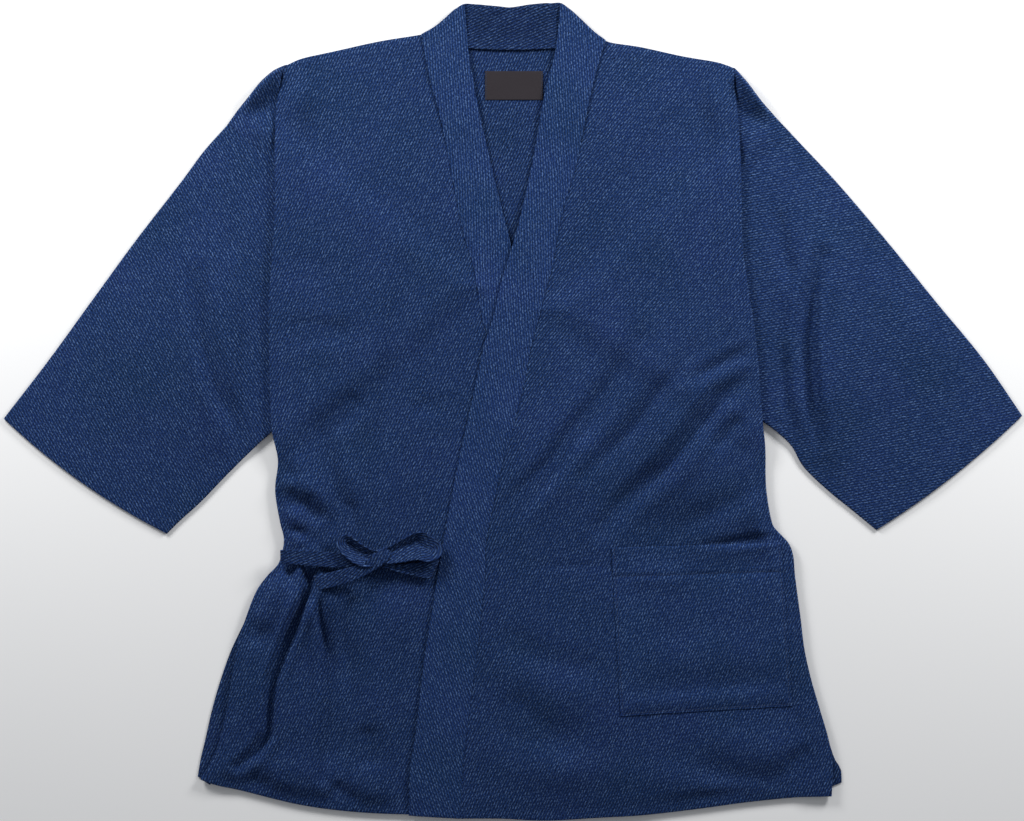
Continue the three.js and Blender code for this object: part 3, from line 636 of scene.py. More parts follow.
@dataclass(frozen=True)
class Layers:
    """The heights at which the layers of the jacket lie on each other.

    The fades are how far from an edge the swells and folds come to their full height. A span is
    where a layer's step starts and ends.
    """

    fades_side: float = 18.0
    fades_hem: float = 20.0
    waves_fade_hem: float = 30.0
    fades_shoulder: float = 50.0
    fades_lap: float = 36.0
    past_lap: Span = (10.0, 50.0)
    top_of_lap: Span = (185.0, 270.0)
    past_sleeve: Span = (8.0, 40.0)
    onto_stand: Span = (262.0, 318.0)
    onto_back: Span = (-44.0, -14.0)
    waves: tuple[Wave, ...] = (Wave(0.55, 64, 90), Wave(0.3, 27, 36, 31, 17))
    near: float = 18.0

    def underlap(self, x: Array, y: Array) -> Array:
        """Gives the rise of the layers that the left front lies on."""
        past_band = x - read(OPENING_RIGHT, 1, y, 0)
        return UNDERLAP_LIFT * (1 - smooth(past_band, *self.past_lap)) * (1 - smooth(y, *self.top_of_lap))

    def standing(self, half: Half, x: Array, y: Array) -> Array:
        """Gives the swells and folds of a front, which fade out at its edges.

        Args:
            half: The front's half of the jacket.
            x: The points' X.
            y: The points' Y.

        Returns:
            The rise above the layer that lies flat.
        """
        from_hem = y - read(half.hem, 0, x, 1)
        from_shoulder = read(half.shoulder, 0, x, 1) - y
        fades = smooth(half.from_side(x, y), 0, self.fades_side) * smooth(from_hem, 0, self.fades_hem)
        fades = fades * smooth(from_shoulder, 0, self.fades_shoulder)
        if half.side is Side.RIGHT:
            fades = fades * smooth(read(OPENING_LEFT, 1, y, 0) - x, 0, self.fades_lap)
        uneven = sum(wave.at(x, y) for wave in self.waves) * smooth(from_hem, 0, self.waves_fade_hem)
        return fades * np.maximum(relief(x, y, SWELLS, FOLDS) + uneven, 0)

    def front(self, half: Half, x: Array, y: Array) -> Array:
        """Gives the height of a front over all that it lies on.

        Args:
            half: The front's half of the jacket.
            x: The points' X.
            y: The points' Y.

        Returns:
            The height of the middle of its wall.
        """
        edge = EDGE_LIFT * (1 - smooth(half.from_side(x, y), FOLD_CREST, FOLD_SETTLES))
        sleeve = SLEEVE_LIFT * (1 - smooth(half.outside_sleeve_end(x, y), *self.past_sleeve))
        under = self.underlap(x, y) if half.side is Side.LEFT else 0.0
        return FRONT_LOW + edge + sleeve + under + self.standing(half, x, y)

    def band(self, half: Half, x: Array, y: Array) -> Array:
        """Gives the middle of a collar band's wall, which climbs onto the stand at the neck."""
        on_stand = STAND_LIFT * smooth(y, *self.onto_stand)
        return self.front(half, x, y) + (SOLID_BAND - SOLID_CLOTH) / 2 + on_stand

    def sleeve_low(self, half: Half, x: Array, y: Array) -> Array:
        """Gives the middle of a sleeve's lower layer: on the surface outside, on the back inside."""
        return CLOTH / 2 + (SOLID_CLOTH + REST) * smooth(half.from_side(x, y), *self.onto_back)

    def high_near(self, x: Array, y: Array) -> Array:
        """Gives the highest cloth of the right front close to points, where a strap can rest.

        Args:
            x: The points' X.
            y: The points' Y.

        Returns:
            The top of the solid cloth round each point.
        """
        steps = (-self.near, 0, self.near)
        tops = [self.front(RIGHT_HALF, x + dx, y + dy) for dx in steps for dy in steps]
        return np.max(tops, axis=0) + SOLID_CLOTH / 2


LAYERS = Layers()


RIM_TURNS = np.array([0.0, math.pi / 6, math.pi / 3, math.pi / 2])
SHORTEST_NORMAL = 1e-9


def spread(count: int, length: float) -> Array:
    """Gives shares of a length, close together at both ends where the rim is round.

    Args:
        count: How many even steps the length has.
        length: The length, in millimetres.

    Returns:
        The shares, from 0 to 1.
    """
    ends = RIM * (1 - np.cos(RIM_TURNS)) / length
    middle = np.linspace(ends[-1], 1 - ends[-1], count + 1)[1:-1]
    return np.concatenate([ends, middle, (1 - ends)[::-1]])


def rim_share(distance: Array) -> Array:
    """Gives the share of the full wall at distances from a round rim."""
    inward = 1 - np.clip(distance / RIM, 0, 1)
    return np.sqrt(np.clip(1 - inward**2, 0, 1))


def facing(points: Array) -> Array:
    """Gives the normals of a grid of points.

    Args:
        points: The grid.

    Returns:
        A unit vector for each point, straight up where the grid has no area.
    """
    normals = np.cross(np.gradient(points, axis=1), np.gradient(points, axis=0))
    size = np.linalg.norm(normals, axis=2, keepdims=True)
    unit = normals / np.maximum(size, SHORTEST_NORMAL)
    return np.where(size > SHORTEST_NORMAL, unit, (0.0, 0.0, 1.0))


@dataclass
class Mesh:
    """The vertices, faces and weave coordinates of a piece, in millimetres."""

    points: list[Array] = field(default_factory=list)
    weave: list[Array] = field(default_factory=list)
    faces: list[Array] = field(default_factory=list)
    count: int = 0
    sheet_area: float = 0.0

    def add(self, points: Array, weave: Array, faces: Array) -> None:
        """Adds vertices and the quads between them.

        Args:
            points: The vertices.
            weave: Their weave coordinates.
            faces: The quads, which count from the first of these vertices.
        """
        self.points.append(points)
        self.weave.append(weave)
        self.faces.append(faces + self.count)
        self.count += len(points)

    def add_shell(
        self, centre: Array, wall: float | Array, weave: Array, ring: bool = False
    ) -> None:
        """Adds a closed wall round a grid of points, with round rims.

        Args:
            centre: The middle of the wall, as a grid of points whose first columns look up.
            wall: The thickness, one number or one for each point.
            weave: The weave coordinates of the grid.
            ring: True if the columns close on themselves.
        """
        rows, columns = centre.shape[:2]
        padded = np.concatenate([centre[:, -1:], centre, centre[:, :1]], axis=1) if ring else centre
        normals = facing(padded)
        normals = normals[:, 1:-1] if ring else normals
        up = normals[:, : max(columns // 4, 2), 2].mean() > 0
        normals = normals if up else -normals
        thick = np.broadcast_to(wall, (rows, columns)) * self.rim_shares(centre, ring)
        half = (thick / 2)[..., None] * normals
        inside = np.ones((rows, columns), bool)
        inside[[0, -1]] = False
        if not ring:
            inside[:, [0, -1]] = False
        outer = np.arange(rows * columns).reshape(rows, columns)
        inner = outer.copy()
        inner[inside] = rows * columns + np.arange(inside.sum())
        points = np.concatenate([(centre + half).reshape(-1, 3), (centre - half)[inside]])
        coordinates = np.concatenate([weave.reshape(-1, 2), weave[inside]])
        follow = np.roll(np.arange(columns), -1) if ring else np.arange(1, columns)
        first = np.arange(columns if ring else columns - 1)
        faces = []
        for layer, flip in ((outer, not up), (inner, up)):
            before, after = layer[:-1], layer[1:]
            corners = [before[:, first], before[:, follow], after[:, follow], after[:, first]]
            quads = np.stack(corners[::-1] if flip else corners, axis=-1)
            faces.append(quads.reshape(-1, 4))
        self.add(points, coordinates, np.concatenate(faces))
        diagonal = np.cross(centre[1:, 1:] - centre[:-1, :-1], centre[1:, :-1] - centre[:-1, 1:])
        self.sheet_area += float(np.linalg.norm(diagonal, axis=2).sum() / 2) * MM * MM

    def rim_shares(self, centre: Array, ring: bool) -> Array:
        """Gives how thin the wall is near its rims.

        Args:
            centre: The middle of the wall, as a grid of points.
            ring: True if the columns close on themselves and have no rim.

        Returns:
            The share of the full wall at each point.
        """
        share = np.ones(centre.shape[:2])
        for axis in (0,) if ring else (0, 1):
            step = np.linalg.norm(np.diff(centre, axis=axis), axis=2)
            start = np.zeros_like(step.take([0], axis))
            along = np.concatenate([start, np.cumsum(step, axis=axis)], axis=axis)
            share = np.minimum(share, rim_share(along))
            share = np.minimum(share, rim_share(along.take([-1], axis) - along))
        return share

    def piece(self, name: str) -> Piece:
        """Makes the object, at the origin and in metres.

        Args:
            name: Its name.

        Returns:
            The object, in the scene and smooth all over.
        """
        mesh = bpy.data.meshes.new(name)
        points = np.concatenate(self.points) * MM
        faces = np.concatenate(self.faces)
        mesh.from_pydata(points.tolist(), [], faces.tolist())
        layer = mesh.uv_layers.new(name="weave")
        corners = np.empty(len(mesh.loops), np.int32)
        mesh.loops.foreach_get("vertex_index", corners)
        layer.data.foreach_set("uv", (np.concatenate(self.weave) * MM)[corners].ravel())
        mesh.polygons.foreach_set("use_smooth", np.ones(len(mesh.polygons), bool))
        mesh.validate()
        mesh.update()
        made = bpy.data.objects.new(name, mesh)
        bpy.context.scene.collection.objects.link(made)
        return made


def turned(points: Array, angle: float | Array) -> Array:
    """Gives weave coordinates, along and across threads that lie at an angle.

    Args:
        points: The points, whose first two numbers are read.
        angle: The threads' angle from X, in degrees.

    Returns:
        The distance along the threads and the distance across them.
    """
    turn = np.radians(angle)
    x, y = points[..., 0], points[..., 1]
    return np.stack([x * np.cos(turn) + y * np.sin(turn), y * np.cos(turn) - x * np.sin(turn)], axis=-1)


def raised(flat: Array, height: Callable[[Array, Array], Array]) -> Array:
    """Lifts a flat grid to a height that is worked out from its points."""
    return np.concatenate([flat, height(flat[..., 0], flat[..., 1])[..., None]], axis=-1)


class Value:
    """A number that changes over a surface, so that node maths reads as sums."""

    def __init__(self, graph: Graph, socket: Socket) -> None:
        """Wraps a socket of a graph."""
        self.graph = graph
        self.socket = socket

    def _math(self, operation: str, *values: Value | float) -> Value:
        """Adds a Math node on values, which are numbers or wrapped sockets."""
        node = self.graph.node("ShaderNodeMath", {"operation": operation}, dict(enumerate(values)))
        return Value(self.graph, node.outputs[0])

    def __add__(self, other: Value | float) -> Value:
        """Adds."""
        return self._math("ADD", self, other)

    __radd__ = __add__

    def __sub__(self, other: Value | float) -> Value:
        """Takes other away."""
        return self._math("SUBTRACT", self, other)

    def __rsub__(self, other: float) -> Value:
        """Takes this away from other."""
        return self._math("SUBTRACT", other, self)

    def __mul__(self, other: Value | float) -> Value:
        """Multiplies."""
        return self._math("MULTIPLY", self, other)

    __rmul__ = __mul__

    def __truediv__(self, other: Value | float) -> Value:
        """Divides by other."""
        return self._math("DIVIDE", self, other)

    def __abs__(self) -> Value:
        """Drops the sign."""
        return self._math("ABSOLUTE", self)

    def floor(self) -> Value:
        """Rounds down."""
        return self._math("FLOOR", self)

    def fraction(self) -> Value:
        """Keeps what is past the whole number."""
        return self._math("FRACT", self)

    def least(self, other: Value | float) -> Value:
        """Keeps the smaller of the two."""
        return self._math("MINIMUM", self, other)

    def most(self, other: Value | float) -> Value:
        """Keeps the larger of the two."""
        return self._math("MAXIMUM", self, other)

    def clamped(self) -> Value:
        """Keeps the number between 0 and 1."""
        return self.least(1.0).most(0.0)

    def eased(self, start: Value | float, stop: Value | float) -> Value:
        """Eases from 0 at start to 1 at stop."""
        share = ((self - start) / (stop - start)).clamped()
        return share * share * (3.0 - share * 2.0)


class Graph:
    """The node tree of one material."""

    def __init__(self, name: str) -> None:
        """Makes a material with an empty tree.

        Args:
            name: The material's name.
        """
        self.material = bpy.data.materials.new(name)
        self.material.use_nodes = True
        self.tree = self.material.node_tree
        self.tree.nodes.clear()

    def node(
        self, kind: str, settings: dict[str, object] | None = None,
        inputs: dict[str | int, object] | None = None,
    ) -> bpy.types.Node:
        """Adds a node.

        Args:
            kind: The node's type.
            settings: Its properties, which are set first.
            inputs: The values or links of its sockets, by name or by number.

        Returns:
            The node.
        """
        made = self.tree.nodes.new(kind)
        for name, value in (settings or {}).items():
            setattr(made, name, value)
        for name, value in (inputs or {}).items():
            if isinstance(value, Value):
                self.tree.links.new(value.socket, made.inputs[name])
            elif isinstance(value, Socket):
                self.tree.links.new(value, made.inputs[name])
            else:
                made.inputs[name].default_value = value
        return made

    def weave(self) -> tuple[Value, Value, Socket]:
        """Reads the weave coordinates.

        Returns:
            The distances along and across the threads, and both as one vector.
        """
        place = self.node("ShaderNodeUVMap", {"uv_map": "weave"}).outputs["UV"]
        parts = self.node("ShaderNodeSeparateXYZ", None, {"Vector": place})
        return Value(self, parts.outputs["X"]), Value(self, parts.outputs["Y"]), place

    def chance(self, first: Value | float, second: Value | float, seed: float) -> Value:
        """Gives a number that belongs to a pair of whole numbers.

        Args:
            first: The first of the pair.
            second: The second.
            seed: A number that sets one use apart from the others.

        Returns:
            The number, from 0 to 1.
        """
        pair = self.node("ShaderNodeCombineXYZ", None, {"X": first, "Y": second, "Z": seed})
        noise = self.node(
            "ShaderNodeTexWhiteNoise", {"noise_dimensions": "3D"}, {"Vector": pair.outputs["Vector"]})
        return Value(self, noise.outputs["Value"])

    def cloud(self, place: Socket, scale: float, detail: float) -> Value:
        """Gives soft noise.

        Args:
            place: The vector that it is read at.
            scale: How fine it is.
            detail: How many finer layers it has.

        Returns:
            The noise, from 0 to 1.
        """
        noise = self.node(
            "ShaderNodeTexNoise", {"noise_dimensions": "3D"},
            {"Vector": place, "Scale": scale, "Detail": detail, "Roughness": 0.55})
        return Value(self, noise.outputs["Fac"])

    def blend(self, share: Value, low: Colour, high: Colour) -> Socket:
        """Mixes two colours.

        Args:
            share: The share of the second colour.
            low: The first colour.
            high: The second colour.

        Returns:
            The mixed colour.
        """
        ends = [(*end, 1.0) if isinstance(end, tuple) else end for end in (low, high)]
        mixed = self.node("ShaderNodeMix", {"data_type": "RGBA"}, {0: share, 6: ends[0], 7: ends[1]})
        return mixed.outputs[2]

    def scaled(self, colour: Socket, amount: Value) -> Socket:
        """Makes a colour lighter or darker by an amount."""
        made = self.node("ShaderNodeVectorMath", {"operation": "SCALE"}, {0: colour, "Scale": amount})
        return made.outputs[0]

    def finish(
        self, colour: Socket, height: Value, relief_mm: float, fixed: dict[str, object]
    ) -> None:
        """Adds the shader, its bump and the output.

        Args:
            colour: The base colour.
            height: The bump's height, from 0 to 1.
            relief_mm: What a height of 1 is, in millimetres.
            fixed: The shader's other sockets.
        """
        bump = self.node(
            "ShaderNodeBump", None, {"Strength": 1.0, "Distance": relief_mm * MM, "Height": height})
        shader = self.node(
            "ShaderNodeBsdfPrincipled", None,
            {"Base Color": colour, "Normal": bump.outputs["Normal"], **fixed})
        self.node("ShaderNodeOutputMaterial", None, {"Surface": shader.outputs["BSDF"]})


@dataclass(frozen=True)
class Threads:
    """Rows of short light threads that show on the face of the cloth.

    A row is divided into cells with a thread each. The threads' lengths are shares of the cell, and
    their width and place are shares of the row.
    """

    row: float
    cell: float
    shortest: float
    longest: float
    half_width: float
    softness: float
    shift: float
    strength: float
    seed: float
    stagger: float = 0.382
    jitter: float = 0.25
    taper: float = 0.14
    aside: float = 0.44
    dimmest: float = 0.27
    brighter: float = 0.70

    def shown(self, graph: Graph, along: Value, across: Value) -> Value:
        """Gives the threads' brightness, from 0 to their strength.

        Args:
            graph: The material's graph.
            along: The distance along the threads.
            across: The distance across them.

        Returns:
            The brightness.
        """
        lane = across / (self.row * MM) + self.shift
        line = lane.floor()
        cell = along / (self.cell * MM) + line * self.stagger
        cell = cell + graph.chance(line, 0.0, self.seed) * self.jitter
        number = cell.floor()
        share = cell.fraction()
        bright = graph.chance(number, line, self.seed + 1.0)
        ends = graph.chance(number, line, self.seed + 2.0) * (self.longest - self.shortest) + self.shortest
        aside = (graph.chance(number, line, self.seed + 3.0) - 0.5) * self.aside
        shown = share.eased(0.0, self.taper) * (1.0 - share.eased(ends - self.taper, ends))
        from_line = abs(lane.fraction() - 0.5 + aside)
        beside = 1.0 - from_line.eased(self.half_width, self.half_width + self.softness)
        return shown * beside * (bright * self.brighter + self.dimmest) * self.strength


@dataclass(frozen=True)
class SlubCotton:
    """Dark blue cotton, woven with short light threads in close slanting rows."""

    name: str = "slub_cotton"
    ground: Plain = (0.0076, 0.0212, 0.0870)
    deeper: Plain = (0.0056, 0.0222, 0.0780)
    thread: Plain = (0.061, 0.111, 0.228)
    long_threads: Threads = Threads(2.75, 5.1, 0.40, 0.95, 0.05, 0.18, 0.0, 0.92, 3.0)
    short_threads: Threads = Threads(2.75, 2.8, 0.40, 0.85, 0.04, 0.18, 0.5, 0.66, 13.0)
    # Painted light and shade: above 1 this copy of the cloth is painted lighter, below 1 darker, as its
    # piece lies to the light.
    painted_light_level: float = 1.0
    wander: float = 1.8
    wander_scale: float = 190.0
    rib_groove_painted_shade: float = 1.10
    streak_scale: float = 1050.0
    streak_length: float = 0.45
    streak_shade: float = 3.0
    broad_scale: float = 11.0
    broad_shade: float = 0.30
    darkest: float = 0.2
    relief: float = 0.10
    thread_relief: float = 0.5
    streak_relief: float = 0.5
    rib_relief: float = 0.6
    roughness: float = 0.92
    specular: float = 0.10
    sheen: float = 0.035
    sheen_roughness: float = 0.5
    sheen_tint: Plain = (0.45, 0.55, 0.95)

    def material(self) -> Material:
        """Makes the material.

        Returns:
            The material, whose pattern lies on the weave coordinates.
        """
        graph = Graph(self.name)
        along, across, place = graph.weave()
        across = across + (graph.cloud(place, self.wander_scale, 1.0) - 0.5) * (self.wander * MM)
        shown = self.long_threads.shown(graph, along, across)
        shown = (shown + self.short_threads.shown(graph, along, across)).least(1.0)
        # Dark lines between the rows: partly the weave's own pattern, partly painted shade in the grooves
        # between the ribs.
        rib = abs((across / (self.long_threads.row * MM)).fraction() - 0.5) * 2.0
        drawn = graph.node("ShaderNodeCombineXYZ", None, {"X": along * self.streak_length, "Y": across})
        streaks = graph.cloud(drawn.outputs["Vector"], self.streak_scale, 2.0) - 0.5
        broad = graph.cloud(place, self.broad_scale, 2.0) - 0.5
        tint = (broad * 2.0 + 0.5).clamped()
        colour = graph.blend(shown, graph.blend(tint, self.deeper, self.ground), self.thread)
        level = self.painted_light_level + self.rib_groove_painted_shade / 2
        shade = streaks * self.streak_shade + broad * self.broad_shade + level - rib * self.rib_groove_painted_shade
        height = shown * self.thread_relief + streaks * self.streak_relief + (1.0 - rib) * self.rib_relief
        graph.finish(graph.scaled(colour, shade.most(self.darkest)), height, self.relief, {
            "Roughness": self.roughness, "Specular IOR Level": self.specular,
            "Sheen Weight": self.sheen, "Sheen Roughness": self.sheen_roughness,
            "Sheen Tint": (*self.sheen_tint, 1.0),
        })
        return graph.material


@dataclass(frozen=True)
class WovenLabel:
    """Smooth, close-woven label cloth, nearly black, with nothing on it."""

    name: str = "label_cloth"
    colour: Plain = (0.0145, 0.0115, 0.0145)
    light: Plain = (0.0330, 0.0270, 0.0320)
    rib: float = 0.45
    fine_scale: float = 1400.0
    relief: float = 0.08
    roughness: float = 0.7
    specular: float = 0.2

    def material(self) -> Material:
        """Makes the material.

        Returns:
            The material, with ribs on the weave coordinates.
        """
        graph = Graph(self.name)
        _, across, place = graph.weave()
        ribs = abs((across / (self.rib * MM)).fraction() - 0.5) * 2.0
        fine = graph.cloud(place, self.fine_scale, 2.0)
        colour = graph.blend(ribs * 0.4 + fine * 0.6, self.colour, self.light)
        graph.finish(colour, ribs * 0.5 + fine * 0.5, self.relief, {
            "Roughness": self.roughness, "Specular IOR Level": self.specular})
        return graph.material


@dataclass(frozen=True)
class SewingThread:
    """Thread a little darker than the cloth, twisted."""

    name: str = "sewing_thread"
    colour: Plain = (0.010, 0.020, 0.058)
    light: Plain = (0.028, 0.050, 0.120)
    ply: float = 0.5
    relief: float = 0.1
    roughness: float = 0.7

    def material(self) -> Material:
        """Makes the material.

        Returns:
            The material, with slanting plies on the weave coordinates.
        """
        graph = Graph(self.name)
        along, across, _ = graph.weave()
        twist = abs(((along + across) / (self.ply * MM)).fraction() - 0.5) * 2.0
        colour = graph.blend(twist, self.colour, self.light)
        graph.finish(colour, twist, self.relief, {"Roughness": self.roughness})
        return graph.material


@dataclass(frozen=True)
class Finishes:
    """The materials of the jacket. band, inside, stand, ties and pocket are copies of the one cloth with
    painted light and shade.
    """

    cloth: Material
    band: Material
    inside: Material
    stand: Material
    ties: Material
    pocket: Material
    label: Material
    thread: Material

    @classmethod
    def made(cls) -> Finishes:
        """Makes them all.

        Returns:
            The materials. The copies of the same cloth carry painted light and shade: each is painted
            lighter or darker as its piece lies to the light.
        """
        # Painted light and shade: the band and pocket copies are painted lighter; the inside of the back,
        # the stand and the ties are painted darker.
        painted_light_levels = {"band": 1.14, "inside": 0.92, "stand": 0.77, "ties": 0.84, "pocket": 1.09}
        return cls(
            cloth=SlubCotton().material(),
            **{
                word: SlubCotton(name=f"slub_cotton_{word}", painted_light_level=level).material()
                for word, level in painted_light_levels.items()
            },
            label=WovenLabel().material(),
            thread=SewingThread().material(),
        )


def dressed(
    piece: Piece, material: Material, node: str | None = None
) -> Piece:
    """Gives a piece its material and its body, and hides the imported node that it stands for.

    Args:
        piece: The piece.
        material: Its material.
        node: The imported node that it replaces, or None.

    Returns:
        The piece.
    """
    piece.data.materials.append(material)
    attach(piece, "root")
    if node:
        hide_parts(node)
    return piece


def declared(
    piece: Piece, mesh: Mesh, flat: tuple[float, float]
) -> None:
    """Logs the area of a piece's sheet of cloth.

    Args:
        piece: The piece.
        mesh: Its mesh, which knows the area of its sheet.
        flat: The width and length of the cut, in millimetres.
    """
    width, length = flat[0] * MM, flat[1] * MM
    area = min(mesh.sheet_area, width * length)
    log.info("%s: %.4f m2 of cloth", piece.name, mesh.sheet_area)


@dataclass
class StitchRow:
    """A row of machine stitches, each a small rounded thread."""

    path: Array
    pitch: float = 3.0
    length: float = 2.3
    radius: float = 0.28
    sides: int = 6
    rings: int = 5
    blunt: float = 0.12
    arch: float = 0.9
    sunk: float = 0.5

    def at(self, distances: Array) -> Array:
        """Gives points of the path.

        Args:
            distances: How far they are from its start.

        Returns:
            The points, one in each row.
        """
        lengths = np.linalg.norm(np.diff(self.path, axis=0), axis=1)
        along = np.concatenate([[0.0], np.cumsum(lengths)])
        return np.stack([np.interp(distances, along, self.path[:, axis]) for axis in range(3)], axis=1)

    def add_to(self, mesh: Mesh) -> None:
        """Adds the stitches to a mesh.

        Args:
            mesh: The mesh of all the stitches of a piece.
        """
        whole = np.linalg.norm(np.diff(self.path, axis=0), axis=1).cumsum()[-1]
        places = np.arange(self.pitch / 2, whole, self.pitch)
        at = self.at(places)
        ways = self.at(places + 0.5) - self.at(places - 0.5)
        ways /= np.linalg.norm(ways, axis=1, keepdims=True)
        turns = np.linspace(0, 2 * math.pi, self.sides, endpoint=False)
        shares = np.linspace(0, math.pi, self.rings)
        columns = np.arange(self.sides)
        quads = []
        for ring in range(self.rings - 1):
            low, high = ring * self.sides + columns, (ring + 1) * self.sides + columns
            quads.append(np.stack([low, np.roll(low, -1), np.roll(high, -1), high], axis=1))
        faces = np.concatenate(quads)
        for place, way in zip(at, ways):
            side = np.array([-way[1], way[0], 0.0])
            side /= np.linalg.norm(side)
            up = np.cross(way, side)
            ring_points = []
            for share in shares:
                width = self.radius * max(math.sin(share), self.blunt)
                lift = self.radius * self.arch * math.sin(share) - self.radius * self.sunk
                centre = place - way * math.cos(share) * self.length / 2 + up * lift
                around = np.outer(np.cos(turns), side) + np.outer(np.sin(turns), up)
                ring_points.append(centre + width * around)
            points = np.concatenate(ring_points)
            mesh.add(points, points[:, :2], faces)


@dataclass
class BackPanel:
    """The back: one flat panel from shoulder to hem, with the lower layers of the shoulders."""

    columns: int = 96
    rows: int = 120
    neck_rise: float = 2.8
    weave_angle: float = 65.0
    cut: Span = (690.0, 815.0)

    def side(self, half: Half) -> list[tuple[float, ...]]:
        """Gives the edge of one side.

        Args:
            half: The side's half of the jacket.

        Returns:
            The rows, from the notch to the hem.
        """
        inner = tuple(half.on_armhole(half.edge[half.by_armhole][0]))
        shown = [row for row in half.edge[half.by_armhole:] if row[1] > half.vent_top]
        return [half.drop[-1], inner, *shown, *half.back_edge]

    def build(self, finishes: Finishes) -> list[Piece]:
        """Makes the panel.

        Args:
            finishes: The materials.

        Returns:
            A list with the piece.
        """
        right, left = self.side(RIGHT_HALF), self.side(LEFT_HALF)
        neck = [(x, y + self.neck_rise) for x, y in NECKLINE]
        top = [
            *DROP_RIGHT[::-1], *SHOULDER_RIGHT[::-1][1:-1], *neck, *SHOULDER_LEFT[1:-1], *DROP_LEFT,
        ]
        bottom = [right[-1], *BACK_HEM, left[-1]]
        patch = Patch(Edge(top), Edge(bottom), Edge(right), Edge(left))
        across = spread(self.columns, patch.bottom.length)
        down = spread(self.rows, patch.start.length)
        centre = raised(patch.points(across, down), lambda x, y: np.full(x.shape, CLOTH / 2))
        mesh = Mesh()
        mesh.add_shell(centre, CLOTH, turned(centre, self.weave_angle))
        piece = dressed(mesh.piece("back_panel"), finishes.inside, "back")
        declared(piece, mesh, self.cut)
        return [piece]


